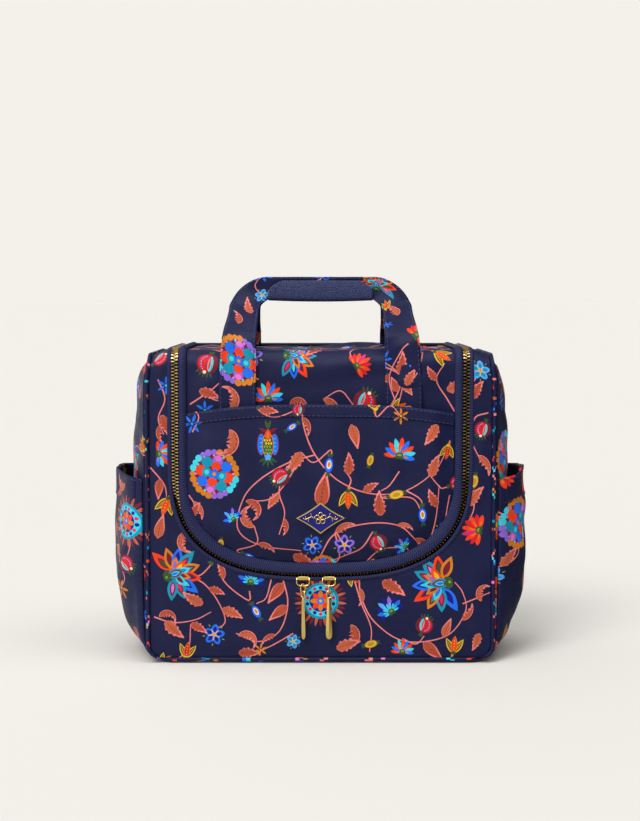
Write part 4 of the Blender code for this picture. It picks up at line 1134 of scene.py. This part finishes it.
def gusset_space(sign):
    def place(y, z):
        z2 = np.asarray(z, float)
        reach = smooth(0, 0.018, y - side_front(z2)) * smooth(HALF_DEPTH - 0.001, HALF_DEPTH - 0.018, y)
        reach = reach * smooth(0.004, 0.020, z2) * smooth(0.2300, 0.2150, z2)
        x = edge_x(z2) + 0.0031 + gusset_swell(y, z2) + ripple(y, z2, 31 + sign, 0.045, 0.0011) * reach
        return slump(np.stack([sign * x, y * np.ones_like(z2), z2], -1))
    return place


def pocket_mouth(y):
    return POCKET_TOP_Z - 0.005 * np.abs(y / HALF_DEPTH) ** 1.5


def side_pocket_space(sign, out=0.0):
    def place(y, z):
        z = np.asarray(z, float)
        gather = ripple(y, z * 0.25, 71 + sign, 0.016, 0.0007) * smooth(0.085, 0.130, z)
        reach = smooth(HALF_DEPTH, HALF_DEPTH - 0.014, np.abs(y)) * smooth(0.010, 0.026, z)
        tuck = smooth(0.008, 0.018, z) * smooth(0.0562, 0.0520, np.abs(y))
        base = edge_x(z) + 0.0034 + 0.0020 * tuck + out
        folds = gather + ripple(y, z, 51 + sign, 0.045, 0.0012)
        x = base + np.maximum(side_swell(y, z) * 0.96, pocket_swell(y, z)) + folds * reach
        return np.stack([sign * x, y * np.ones_like(z), z], -1)
    return place


def band(y, top, bottom):
    """A closed outline between two lines over the same y."""
    return np.concatenate([np.stack([y, bottom], -1), np.stack([y, top], -1)[::-1]])


for sign, side in ((-1, "left"), (1, "right")):
    z = np.linspace(0.0040, 0.2292, 92)
    front_line = side_front(np.minimum(z, 0.2277))
    outline = np.concatenate([np.stack([front_line, z], -1),
                              [(y, 0.2292) for y in np.linspace(-0.040, 0.050, 36)],
                              [(HALF_DEPTH - 0.0018, h) for h in z[::-1]],
                              [(y, 0.0040) for y in np.linspace(0.050, -0.050, 40)]])
    place = gusset_space(sign)
    cloth = printed("gusset_cloth_" + side, outline, filled((-58, 0), (58, 228), 5 + sign), place, 0.0)
    if sign < 0:
        cloth.data.flip_normals()
    thicken(cloth, 0.0020)
    finish_piece(cloth, "case", ["side_panel_" + side])

    y = np.linspace(-0.0556, 0.0556, 48)
    place = side_pocket_space(sign)
    shapes = filled((-58, 8), (58, 140), 25 + sign)
    cloth = printed("side_pocket_cloth_" + side, band(y, pocket_mouth(y), np.full(48, 0.0066)),
                    shapes, place, 0.0)
    if sign < 0:
        cloth.data.flip_normals()
    thicken(cloth, 0.0014)
    finish_piece(cloth, "case", ["side_pocket_" + side])

    yh = y[1:-1] * 0.985
    raised = side_pocket_space(sign, 0.0005)
    pocket = cloth
    cloth = printed("side_pocket_hem_cloth_" + side,
                    band(yh, pocket_mouth(yh) + 0.0005, pocket_mouth(yh) - 0.019), shapes, raised, 0.0)
    if sign < 0:
        cloth.data.flip_normals()
    thicken(cloth, 0.0004)
    finish_piece(cloth, "case", ["side_pocket_hem_" + side])
    fine = np.linspace(-0.0535, 0.0535, 90)
    rows = []
    for drop in (0.0016, 0.0180):
        p, n = outward(raised, fine, pocket_mouth(fine) - drop)
        rows.append((p, n * sign))
    seam = stitches("side_pocket_stitches_" + side, rows, "case")

    x = sign * (HALF_WIDTH + 0.0014)
    upright = np.linspace(0.0042, ARC_START - 0.001, 110)
    line = [(sign * (edge_x(h) + 0.0014), -HALF_DEPTH - 0.0001, h) for h in upright]
    arc = np.linspace(0, math.pi / 2, 12)[1:]
    r = EDGE_RADIUS + 0.0003
    line += [(x, -HALF_DEPTH + EDGE_RADIUS - r * math.cos(a), ARC_START + r * math.sin(a)) for a in arc]
    line += [(x, yy, HEIGHT + 0.0003) for yy in np.linspace(-0.040, HALF_DEPTH - 0.001, 30)]
    line = slump(np.array(line))
    cord = tube("front_piping_cord_" + side, line, PIPING_RADIUS, PRINT, print_seed=3 + sign)
    finish_piece(cord, "case", ["front_piping_" + side])
    line = [(sign * (edge_x(h) + 0.0014), HALF_DEPTH + 0.0004, h) for h in np.linspace(0.0042, 0.2275, 110)]
    line = slump(np.array(line))
    cord = tube("rear_piping_cord_" + side, line, PIPING_RADIUS, PRINT, print_seed=7 + sign)
    finish_piece(cord, "case", ["rear_piping_" + side])


# ---------------------------------------------------------------- back, base
def back_space(x, z):
    edge = smooth(0, 0.016, HALF_WIDTH - np.abs(x)) * smooth(0.003, 0.02, z) * smooth(0.2266, 0.210, z)
    y = HALF_DEPTH - 0.0001 + (0.0005 + ripple(x, z, 91, 0.070, 0.0006)) * edge
    return np.stack([x, y, z * np.ones_like(x)], -1)


ring = [(-cx, PANEL_BASE_Z), (cx, PANEL_BASE_Z)]
ring += [(cx + CORNER_RADIUS * math.sin(a), cz - CORNER_RADIUS * math.cos(a)) for a in t]
ring += [(HALF_WIDTH, cz), (HALF_WIDTH, 0.2266), (-HALF_WIDTH, 0.2266), (-HALF_WIDTH, cz)]
ring += [(-cx - CORNER_RADIUS * math.cos(a), cz - CORNER_RADIUS * math.sin(a)) for a in t]
back = printed("back_cloth", evenly(np.array(ring + [ring[0]]), OUTLINE_STEP)[:-1],
               filled((-126, 0), (126, 226), 41), back_space, 0.0)
back.data.flip_normals()
thicken(back, 0.0020)
finish_piece(back, "case", ["back_panel"])


# The lid's rear seam: a binding that bends over the hinge line.
turn = spline([(57.8, 226.2), (58.3, 228.0), (58.6, 229.6), (58.2, 230.9), (57.2, 231.3), (56.0, 231.0),
               (54.6, 230.3)], 0.4) * MM
rows = [[(x, yy, zz) for yy, zz in turn] for x in np.linspace(-0.1045, 0.1045, 60)]
seam = lattice_sheet("rear_seam_binding", rows, NAVY, 0.0)
thicken(seam, 0.0005, 0.0)
finish_piece(seam, ("case", "lid", (0, 0.0586, 0.2290), (0, 0.0575, 0.2313)))


def base_loop(inset, corner, z, steps=8, half=0.1215):
    a, b = half - inset, HALF_DEPTH - inset
    found = []
    for quarter, (sx, sy) in enumerate(((1, 1), (-1, 1), (-1, -1), (1, -1))):
        for i in range(steps + 1):
            t = math.pi / 2 * (quarter + i / steps)
            found.append((sx * (a - corner) + corner * math.cos(t),
                          sy * (b - corner) + corner * math.sin(t), z))
    return np.array(found)


loop = base_loop(0.0035, 0.010, 0.0)
loop = evenly(np.concatenate([loop, loop[:1]]), 0.0030)[:-1]
base = printed("base_cloth", loop[:, :2], filled((-122, -58), (122, 58), 61),
               lambda x, y: np.stack([x, y, np.zeros_like(x)], -1), 0.0)
base.data.flip_normals()
thicken(base, 0.0028)
finish_piece(base, "case", ["bottom_panel"])
binding = base_loop(0.0016, 0.0115, 0.0024)
binding = evenly(np.concatenate([binding, binding[:1]]), 0.003)[:-1]
cord = tube("base_binding_cord", binding, 0.0018, PRINT, closed=True, print_seed=1)
finish_piece(cord, "case", ["base_binding"])
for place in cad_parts["base_board"].material_slots:
    place.material = BOARD


# ---------------------------------------------------------------- handles
def handle_edges(y_start, z_start, y_bar, tail=None, count=160):
    """The outer and inner edge of a handle as matching lines in space, from the left foot to the right."""
    z_knee, z_bar = 0.237, HANDLE_TOP_Z - BAR_HEIGHT
    profile = [(y_start, z_start)]
    for i in range(25):
        s = i / 24
        profile.append((y_start + (y_bar - y_start) * s * s * (3 - 2 * s), z_knee + (z_bar - z_knee) * s))
    profile.append((y_bar, HANDLE_TOP_Z))
    if tail is not None:
        profile = [(y_start, tail)] + profile
    profile = np.array(profile)
    lengths = walk(profile)
    total = lengths[-1]

    def edge(half, reach, top, lean_in):
        t = np.linspace(0, math.pi / 2, 24)
        corner = np.stack([lean_in - half + reach * (1 - np.cos(t) ** (2 / 1.8)),
                           top - reach + reach * np.sin(t) ** (2 / 1.8)], -1)
        rise = np.linspace(0, top - reach, 30, endpoint=False)
        leg = np.stack([lean_in * smooth(0.020, top - reach, rise) - half, rise], -1)
        return resample(np.concatenate([leg, corner]), count // 2)

    outer = edge(STRAP_X + STRAP_WIDTH / 2, 0.027, total, 0.0056)
    inside = edge(STRAP_X - STRAP_WIDTH / 2, 0.012, total - BAR_HEIGHT + 0.0008, 0.0008)
    lines = []
    for line in (outer, inside):
        bar = np.linspace(line[-1], (0, line[-1][1]), 22)[1:]
        half = np.concatenate([line, bar])
        whole = np.concatenate([half, (half * (-1, 1))[-2::-1]])
        y = np.interp(whole[:, 1], lengths, profile[:, 0])
        z = np.interp(whole[:, 1], lengths, profile[:, 1])
        lines.append(np.stack([whole[:, 0], y, z], -1))
    return lines


def strap(name, edges, seed, thickness=0.0022, layout=()):
    """A flat printed strap between two edge lines, softly crowned, with its print laid along it."""
    outer, inner = edges
    middle = (outer + inner) / 2
    walked = walk(middle)
    total = walked[-1]

    def place(s, w):
        share = np.clip(w / STRAP_WIDTH, 0, 1)
        o = reached(outer, walked, s)
        i = reached(inner, walked, s)
        ahead = reached(middle, walked, s + 0.002) - reached(middle, walked, s - 0.002)
        normal = unit(np.cross(i - o, ahead))
        arch = np.sin(math.pi * share)
        crown = (0.0005 * arch + 0.0003 * np.sin(s * 160 + share * 2)) * arch
        return o + (i - o) * share[:, None] - normal * crown[:, None]

    s = np.linspace(0, total, int(total / 0.0022))
    border = np.concatenate([np.stack([s, np.zeros_like(s)], -1),
                             np.stack([s, np.full_like(s, STRAP_WIDTH)], -1)[::-1]])
    shapes = filled((0, 0), (total / MM, STRAP_WIDTH / MM), seed, layout)
    obj = printed(name, border, shapes, place, 0.0, 2.2)
    thicken(obj, thickness, 0.0)
    return obj, place, total


def strap_stitches(name, place, total, body, out):
    rows = []
    s = np.linspace(0.001, total - 0.001, 260)
    for w in (SEAM_INSET, STRAP_WIDTH - SEAM_INSET):
        p, n = outward(place, s, np.full_like(s, w))
        n = np.where((n[:, 1] * out < 0)[:, None], -n, n)
        rows.append((p + n * 0.0011, n))
    return stitches(name, rows, body)


front_edges = handle_edges(-HALF_DEPTH - 0.0003 - 0.0012, 0.2174, -BAR_Y, tail=0.172)
strap_blend = ("lid", "front_handle", (0, -0.059, 0.2115), (0, -0.059, 0.2235))
obj, place, total = strap("front_handle_cloth", front_edges, 7, layout=[
    ("rosette", 50, 14, 90, 0.88, 0), ("curl", 14, 8, 20, 0.8, 0), ("plume", 84, 10, 60, 0.9, 1),
    ("leaf", 108, 20, 110, 0.8, 0),
    ("daisy", 134, 20, 0, 0.7, 1), ("fan", 168, 20, 100, 0.8, 0), ("leaf", 196, 14, 80, 0.8, 1),
    ("lotus", 222, 10, 200, 0.72, 0),
    ("plume", 262, 14, 250, 1.0, 0), ("tulip", 240, 22, 250, 0.7, 1)])
finish_piece(obj, strap_blend, ["front_handle_strap", "front_strap_end_left", "front_strap_end_right"])
strap_stitches("front_handle_stitches", place, total, strap_blend, -1)
rear_edges = handle_edges(HALF_DEPTH - 0.0048, HEIGHT + 0.0004, BAR_Y)
obj, place, total = strap("rear_handle_cloth", rear_edges, 9)
finish_piece(obj, "rear_handle", ["rear_handle_strap"])
strap_stitches("rear_handle_stitches", place, total, "rear_handle", 1)

for sign, side in ((-1, "left"), (1, "right")):
    low_x = sign * STRAP_X - STRAP_WIDTH / 2
    y = HALF_DEPTH + 0.0026

    def tail_space(x, z, low_x=low_x):
        crown = 0.0004 * np.sin(math.pi * np.clip(x / STRAP_WIDTH, 0, 1))
        return np.stack([x + low_x, y + crown, z * np.ones_like(x)], -1)

    border = evenly(np.array([(0, 0.170), (STRAP_WIDTH, 0.170), (STRAP_WIDTH, 0.226), (0, 0.226),
                              (0, 0.170)]), OUTLINE_STEP)[:-1]
    tail = printed("rear_strap_end_cloth_" + side, border,
                   filled((0, 160), (27, 226), 13 + sign), tail_space, 0.0, 2.2)
    tail.data.flip_normals()
    thicken(tail, 0.0021)
    finish_piece(tail, "case", ["rear_strap_end_" + side])
    near, far = SEAM_INSET, STRAP_WIDTH - SEAM_INSET
    box = [(near, 0.1715), (far, 0.1715), (far, 0.196), (near, 0.196), (near, 0.1715), (far, 0.196),
           (far, 0.1715), (near, 0.196)]
    rows = []
    for p, q in zip(box, box[1:]):
        line = np.linspace(p, q, 20)
        rows.append((tail_space(line[:, 0], line[:, 1]) + np.array([0, 0.0001, 0]), (0.0, 1.0, 0.0)))
    stitches("rear_strap_end_stitches_" + side, rows, "case")


# ---------------------------------------------------------------- leather wrap of the front bar
def grip():
    """A folded leather wrap: up the front of the bar, under it and up the back, its upper corners rounded."""
    low, high, depth = 0.2650, 0.2802, 0.0030
    rows = []
    for i in range(33):
        s = -1 + 2 * i / 32
        height = abs(s)
        if height < 0.28:
            a = s / 0.28 * math.pi / 2
            y, z = -BAR_Y - depth * math.sin(a), low + 0.0022 * (1 - math.cos(a))
        else:
            f = (height - 0.28) / 0.72
            y = -BAR_Y - math.copysign(depth + 0.0004 * math.sin(math.pi * f), s)
            z = low + 0.0022 + (high - low - 0.0022) * f
        f = max(0.0, (z - low) / (high - low))
        half = 0.0394 - 0.0105 * max(0.0, (f - 0.30) / 0.70) ** 2.4
        bow = 0.0009
        rows.append([(half * x, y, z + bow * (x * x) * (1 - f)) for x in np.linspace(-1, 1, 60)])
    obj = lattice_sheet("grip_leather", rows, LEATHER)
    thicken(obj, 0.0013, 0.0)
    soft = obj.modifiers.new("edge", "BEVEL")
    soft.width, soft.segments, soft.limit_method = 0.0004, 2, "ANGLE"
    apply_modifiers(obj)
    return finish_piece(obj, "front_handle", ["grip_wrap"])


grip()


# ---------------------------------------------------------------- emblem
def flat_plate(name, outline, y_low, y_high, material, bevel):
    """A thin plate facing the front, its rim softened."""
    made = bmesh.new()
    face = made.faces.new([made.verts.new((x, y_high, z)) for x, z in outline])
    made.normal_update()
    pulled = bmesh.ops.extrude_face_region(made, geom=[face])
    bmesh.ops.translate(made, vec=(0, y_low - y_high, 0),
                        verts=[v for v in pulled["geom"] if isinstance(v, bmesh.types.BMVert)])
    bmesh.ops.recalc_face_normals(made, faces=made.faces)
    obj = from_bmesh(name, made, material)
    soft = obj.modifiers.new("rim", "BEVEL")
    soft.width, soft.segments, soft.limit_method, soft.angle_limit = bevel, 3, "ANGLE", 0.6
    return apply_modifiers(obj)


def lozenge(half_x, half_z, hollow=0.06):
    found = []
    corners = [(half_x, 0), (0, half_z), (-half_x, 0), (0, -half_z)]
    for (x0, z0), (x1, z1) in zip(corners, corners[1:] + corners[:1]):
        for i in range(8):
            f = i / 8
            k = 1 - hollow * math.sin(math.pi * f)
            found.append(((x0 + (x1 - x0) * f) * k, EMBLEM_Z + (z0 + (z1 - z0) * f) * k))
    return found


EMBLEM_Z = 0.108
PLATE_STANDOFF = 0.0084  # how far the emblem's face stands off the bag's front
face_y = -HALF_DEPTH - PLATE_STANDOFF
plate = flat_plate("emblem_gold_plate", lozenge(0.0178, 0.0115), face_y - 0.0012, face_y, GOLD, 0.0003)
finish_piece(plate, "lid", ["emblem_plate"])
face = flat_plate("emblem_blue_face", lozenge(0.0163, 0.0103), face_y - 0.0016, face_y - 0.0010,
                  ENAMEL, 0.00015)
finish_piece(face, "lid", ["emblem_enamel"])


def emblem_sprig():
    """A plain sprig of gold line work: a small five-petalled flower between two leafy scrolls."""
    y = face_y - 0.0018
    parts = []
    for i in range(5):
        a = 2 * math.pi * i / 5
        t = np.linspace(0, 2 * math.pi, 13)[:-1]
        px, pz = 0.0015 * np.cos(t), 0.0015 * np.sin(t) + 0.0028
        parts.append(tube("petal",
                          [(x * math.cos(a) + z * math.sin(a), y,
                            EMBLEM_Z - x * math.sin(a) + z * math.cos(a)) for x, z in zip(px, pz)],
                          0.00030, GOLD, closed=True, sides=6))
    for sign in (-1, 1):
        line = spline([(sign * 4.6, 0), (sign * 6.6, 1.3), (sign * 8.8, 0.2), (sign * 10.8, -0.9),
                       (sign * 12.4, 0.2)], 0.5) * MM
        parts.append(tube("scroll", [(x, y, EMBLEM_Z + z) for x, z in line], 0.00032, GOLD, sides=6))
        for x, z, dx, dz in ((6.4, 1.2, 0.6, 2.4), (8.4, 0.4, 0.5, -2.8), (10.2, -0.7, 0.7, 2.2)):
            line = spline([(sign * x, z), (sign * (x + dx * 0.4), z + dz * 0.6),
                           (sign * (x + dx), z + dz)], 0.4) * MM
            parts.append(tube("sprout", [(p, y, EMBLEM_Z + q) for p, q in line], 0.00030, GOLD, sides=6))
    parts.append(tube("eye",
                      [(0.0006 * math.cos(t), y, EMBLEM_Z + 0.0006 * math.sin(t))
                       for t in np.linspace(0, 6.28, 11)[:-1]], 0.0004, GOLD, closed=True, sides=6))
    return joined("emblem_sprig", parts)


finish_piece(emblem_sprig(), "lid")

# ---------------------------------------------------------------- sliders and pullers
SLIDER_Z = 0.0632
CHAIN_Y = -HALF_DEPTH - 0.0056
WIRE = 0.00055
LOOP_LOW = SLIDER_Z - 0.0053
LINK_TOP = LOOP_LOW + 2 * WIRE + 0.0003
LINK_LOW = LINK_TOP - 0.0069
EYE_TOP = LINK_LOW + 2 * WIRE + 0.0006
EYE_LOW = EYE_TOP - 0.0050
PULL_LOW = 0.0186


def stadium(half_wide, half_tall, turns=12):
    straight = half_tall - half_wide
    angles = [math.pi * i / turns for i in range(turns + 1)]
    upper = [(half_wide * math.cos(a), straight + half_wide * math.sin(a)) for a in angles]
    return upper + [(-x, -y) for x, y in upper]


def slider_hardware(side, x0, turn):
    across = np.array((math.cos(turn), math.sin(turn), 0.0))
    along = np.array((-math.sin(turn), math.cos(turn), 0.0))
    up = np.array((0.0, 0.0, 1.0))
    middle = np.array((x0, CHAIN_Y, 0.0))
    front = -HALF_DEPTH - 0.0018 - 0.0032
    outline = []
    for i in range(24):
        a = 2 * math.pi * i / 24
        px, pz = abs(math.cos(a)) ** 0.55, abs(math.sin(a)) ** 0.7
        outline.append((x0 + math.copysign(px * 0.0046, math.cos(a)),
                        SLIDER_Z + math.copysign(pz * 0.0014, math.sin(a))))
    body = flat_plate("slider_body_" + side, outline, front, front + 0.0032, GOLD, 0.0005)
    finish_piece(body, "slider_body_" + side, ["slider_" + side])
    drop = [(-0.0046, front - WIRE - 0.0003, SLIDER_Z + 0.0008)]
    for i in range(25):
        a = math.pi + math.pi * i / 24
        drop.append((0.0046 * math.copysign(abs(math.cos(a)) ** 0.6, math.cos(a)), CHAIN_Y,
                     LOOP_LOW + 0.0026 + 0.0026 * math.sin(a)))
    drop.append((0.0046, front - WIRE - 0.0003, SLIDER_Z + 0.0008))
    loop = tube("slider_loop_wire_" + side, [(x0 + x, y, z) for x, y, z in drop], WIRE, GOLD, sides=12)
    finish_piece(loop, "slider_body_" + side, ["slider_loop_" + side])
    level, half_tall = (LINK_TOP + LINK_LOW) / 2, (LINK_TOP - LINK_LOW) / 2
    ring = [middle + along * p + up * (level + q) for p, q in stadium(0.0023, half_tall)]
    link = tube("pull_link_wire_" + side, ring, WIRE, GOLD, closed=True, sides=12)
    finish_piece(link, "link_body_" + side, ["pull_link_" + side])
    # The puller: an eye drawn out into a faceted bar that widens to a round end
    level, half_tall = (EYE_TOP + EYE_LOW) / 2, (EYE_TOP - EYE_LOW) / 2
    eye = [middle + across * p + up * (level + q) for p, q in stadium(0.0018, half_tall)]
    parts = [tube("eye", eye, WIRE, GOLD, closed=True, sides=12)]
    rows = []
    stops = [(0.0, 0.0013, 0.0007), (0.05, 0.0016, 0.0012), (0.15, 0.0015, 0.0013),
             (0.45, 0.0019, 0.0014), (0.80, 0.0024, 0.0015), (0.92, 0.0023, 0.0013),
             (0.97, 0.0017, 0.0009), (1.0, 0.0008, 0.0005)]
    top = EYE_LOW + 0.0001
    for s, w, d in stops:
        z = top + (PULL_LOW - top) * s
        ring = [(-w, 0), (-0.08 * w, -d), (0.10 * w, -d), (w, 0), (0.10 * w, d), (-0.08 * w, d)]
        rows.append([middle + across * p + along * q + up * z for p, q in ring])
    points = [p for row in rows for p in row]
    faces = []
    for r in range(len(rows) - 1):
        faces += [(r * 6 + c, r * 6 + (c + 1) % 6, (r + 1) * 6 + (c + 1) % 6, (r + 1) * 6 + c)
                  for c in range(6)]
    faces += [tuple(range(6))[::-1], tuple((len(rows) - 1) * 6 + c for c in range(6))]
    bar = new_object("bar", points, faces, GOLD, False)
    soft = bar.modifiers.new("rim", "BEVEL")
    soft.width, soft.segments = 0.00012, 2
    apply_modifiers(bar)
    parts.append(bar)
    finish_piece(joined("puller_" + side, parts), "puller_body_" + side, ["pull_bar_" + side])


slider_hardware("left", -0.0127, math.radians(-45))
slider_hardware("right", 0.0062, 0.0)

# ---------------------------------------------------------------- inside: linings, gathered pocket, tabs, hook
rows = []
for z in np.linspace(0.0074, 0.2225, 44):
    y = np.linspace(-0.0500, 0.0534, 24)
    x = edge_x(z) - 0.0016 + gusset_swell(y, np.full_like(y, z))
    left = np.stack([-x, y, np.full_like(y, z)], -1)
    right = np.stack([x, y, np.full_like(y, z)], -1)[::-1]
    bx = np.linspace(-0.93, 0.93, 30) * (edge_x(z) - 0.0016)
    backs = np.stack([bx, 0.0531 + ripple(bx, np.full_like(bx, z), 17, 0.05, 0.0003),
                      np.full_like(bx, z)], -1)
    rows.append(slump(np.concatenate([left, backs, right])))
cloth = lattice_sheet("case_lining_cloth", rows[::-1], LINING, 0.0005)
finish_piece(cloth, "case", ["case_lining"])


def lining_space(u, v):
    rim = smooth(0.0, 0.012, zip_half(v, -0.006) - np.abs(u))
    lift = -0.0035 - 0.0004 * rim + ripple(u, v, 77, 0.05, 0.0002) * rim
    return skin(u, v, np.minimum(lift, lid_lift(u, v) - 0.0026))


border = zip_path(-0.0050, 0.0030, V_END - 0.004)
lid_back = evenly(np.array([(border[-1][0], V_END - 0.004), (border[0][0], V_END - 0.004)]), 0.003)
border = np.concatenate([border, lid_back[1:-1]])
cloth = printed("lid_lining_cloth", border, [], lining_space, 0.0005, 3.0, LINING)
finish_piece(cloth, "lid", ["lid_lining"])

x = np.linspace(-1, 1, 120)
free = np.minimum(1, 2.5 * (1 - np.abs(x)))
rows = []
for z, out in ((0.020, 0.0), (0.026, 0.35), (0.034, 0.7), (0.045, 0.95), (0.060, 1.0), (0.080, 1.0),
               (0.100, 1.0), (0.112, 0.97), (0.1195, 0.95)):
    gather = 0.0006 * np.sin(x * 60) * smooth(0.08, 0.12, np.full_like(x, z))
    y = 0.0526 - 0.0079 * out * free - 0.0006 + gather * free
    rows.append(np.stack([x * 0.112, y, np.full_like(x, z)], -1))
pocket = lattice_sheet("inner_pocket_cloth", rows, MESH, 0.0006)
finish_piece(pocket, "case", ["mesh_pocket"])
y = 0.0523 - 0.0071 * free - 0.0008
line = np.stack([x * 0.110, y, np.full_like(x, 0.1212)], -1)
cord = tube("inner_pocket_elastic_cord", line, 0.0012 + 0.0002 * np.sin(x * 120), NAVY)
finish_piece(cord, "case", ["mesh_pocket_elastic"])

PIVOT = (0.0, 0.0400, 0.2170)
arc = [(0.0026 * math.cos(-math.pi * i / 16), PIVOT[2] + 0.0026 * math.sin(-math.pi * i / 16))
       for i in range(17)]
profile = [(0.0026, 0.2260)] + arc + [(-0.0026, 0.2260)]
rows = [[(x, PIVOT[1] + y, z) for y, z in profile] for x in np.linspace(0.006, -0.006, 13)]
finish_piece(lattice_sheet("hook_webbing_tab", rows, NAVY, 0.0006), "lid", ["hook_tab"])
ring = spline([(-7.5, 0), (7.5, 0), (9.5, -1.6), (8.6, -4.6), (3.6, -11.0), (0, -12.5), (-3.6, -11.0),
               (-8.6, -4.6), (-9.5, -1.6), (-7.5, 0)], 1.0) * MM
parts = [tube("ring", [(x, PIVOT[1], PIVOT[2] + z) for x, z in ring[:-1]], 0.0018, HOOK_PLASTIC,
              closed=True, sides=14)]
line = [(0, PIVOT[1], PIVOT[2] - 0.0125 - 0.001 * i) for i in range(13)]
line += [(0.0150 * math.cos(math.radians(90 - 9 * i)), PIVOT[1],
          0.1750 + 0.0150 * math.sin(math.radians(90 - 9 * i))) for i in range(31)]
parts.append(tube("stem", line, np.linspace(0.0019, 0.0016, len(line)), HOOK_PLASTIC, sides=14))
finish_piece(joined("hanging_hook_body", parts), "hook", ["hanging_hook"])

for sign, side in ((-1, "left"), (1, "right")):
    rows = []
    for z in np.linspace(0.2140, 0.2258, 9):
        xs = np.linspace(-0.0045, 0.0045, 9) + sign * ZIP_HALF_WIDTH
        rows.append(np.stack([xs, np.full_like(xs, HALF_DEPTH + 0.0018), np.full_like(xs, z)], -1))
    tab = lattice_sheet("zip_end_tab_cloth_" + side, rows[::-1], NAVY)
    tab.data.flip_normals()
    thicken(tab, 0.0014, -1.0 if tab.data.polygons[0].normal.y > 0 else 1.0)
    finish_piece(tab, "case", ["zip_end_tab_" + side])


# ---------------------------------------------------------------- studio
def studio():
    pale = srgb(244, 241, 234)
    bpy.context.scene.view_settings.view_transform = "Standard"
    s = Shader("studio_floor", Roughness=0.9, Specular_IOR_Level=0.0)
    s.connect(s.mix(s.noise(3, 1), tuple(c * FLOOR_SHADE for c in pale),
                    tuple(c * FLOOR_SHADE * 0.997 for c in pale)), "Base Color")
    # What polished metal sees of the floor: lighter on the left than on the right, so that facets read.
    place = s.node("ShaderNodeSeparateXYZ", {0: s.coords}).outputs["X"]
    glow = s.node("ShaderNodeEmission",
                  {"Color": (*pale, 1), "Strength": s.ramp(place, 1.05, 0.10, (-0.35, 0.30))})
    ray = s.node("ShaderNodeLightPath").outputs["Is Glossy Ray"]
    both = s.node("ShaderNodeMixShader", {0: ray, 1: s.shader.outputs[0], 2: glow.outputs[0]})
    s.tree.links.new(both.outputs[0], s.tree.nodes["Material Output"].inputs["Surface"])
    floor = new_object("studio_floor", [(-60, -40, 0), (60, -40, 0), (60, 90, 0), (-60, 90, 0)],
                       [(0, 1, 2, 3)], s.material, False)
    floor.location.z = -0.0004
    world = bpy.data.worlds.new("studio")
    bpy.context.scene.world = world
    world.use_nodes = True
    nodes, links = world.node_tree.nodes, world.node_tree.links
    light = nodes["Background"]
    light.inputs["Color"].default_value = (0.98, 0.99, 1.0, 1)
    split = nodes.new("ShaderNodeSeparateXYZ")
    links.new(nodes.new("ShaderNodeTexCoord").outputs["Generated"], split.inputs[0])
    side = nodes.new("ShaderNodeMapRange")
    side.interpolation_type = "SMOOTHSTEP"
    for key, value in (("From Min", -0.55), ("From Max", 0.55), ("To Min", WORLD_LIGHT * 1.92),
                       ("To Max", WORLD_LIGHT * 0.08)):
        side.inputs[key].default_value = value
    links.new(split.outputs["X"], side.inputs["Value"])
    links.new(side.outputs["Result"], light.inputs["Strength"])
    backdrop = nodes.new("ShaderNodeBackground")
    backdrop.inputs["Color"].default_value = (*pale, 1)
    seen = nodes.new("ShaderNodeLightPath")
    mix = nodes.new("ShaderNodeMixShader")
    links.new(seen.outputs["Is Camera Ray"], mix.inputs[0])
    links.new(light.outputs[0], mix.inputs[1])
    links.new(backdrop.outputs[0], mix.inputs[2])
    links.new(mix.outputs[0], nodes["World Output"].inputs["Surface"])
    for name, place, power, spread in SUNS:
        lamp = bpy.data.lights.new(name, "SUN")
        lamp.energy, lamp.angle = power, math.radians(spread)
        sun = bpy.data.objects.new(name, lamp)
        sun.rotation_mode = "QUATERNION"
        sun.rotation_quaternion = (-Vector(place)).to_track_quat("-Z", "Y")
        bpy.context.scene.collection.objects.link(sun)
    camera = bpy.data.cameras.new("camera")
    camera.lens = 72.6
    camera.sensor_width = 36
    camera.clip_start, camera.clip_end = 0.05, 200
    view = bpy.data.objects.new("camera", camera)
    view.location = (-0.0004, -HALF_DEPTH - 1.2, 0.268)
    view.rotation_mode = "QUATERNION"
    view.rotation_quaternion = (Vector((-0.0004, -HALF_DEPTH, 0.1856))
                                - view.location).to_track_quat("-Z", "Y")
    bpy.context.scene.collection.objects.link(view)
    bpy.context.scene.camera = view


WORLD_LIGHT = 0.38
SUNS = (("key", (-0.55, -1.0, 1.15), 1.9, 30), ("top", (0.15, -0.25, 1.0), 1.3, 50),
        ("side", (0.8, -0.25, 1.0), 0.35, 40))
FLOOR_SHADE = 1 / (WORLD_LIGHT + sum(power * (p[2] / math.hypot(*p)) for _, p, power, _ in SUNS) / math.pi)
studio()
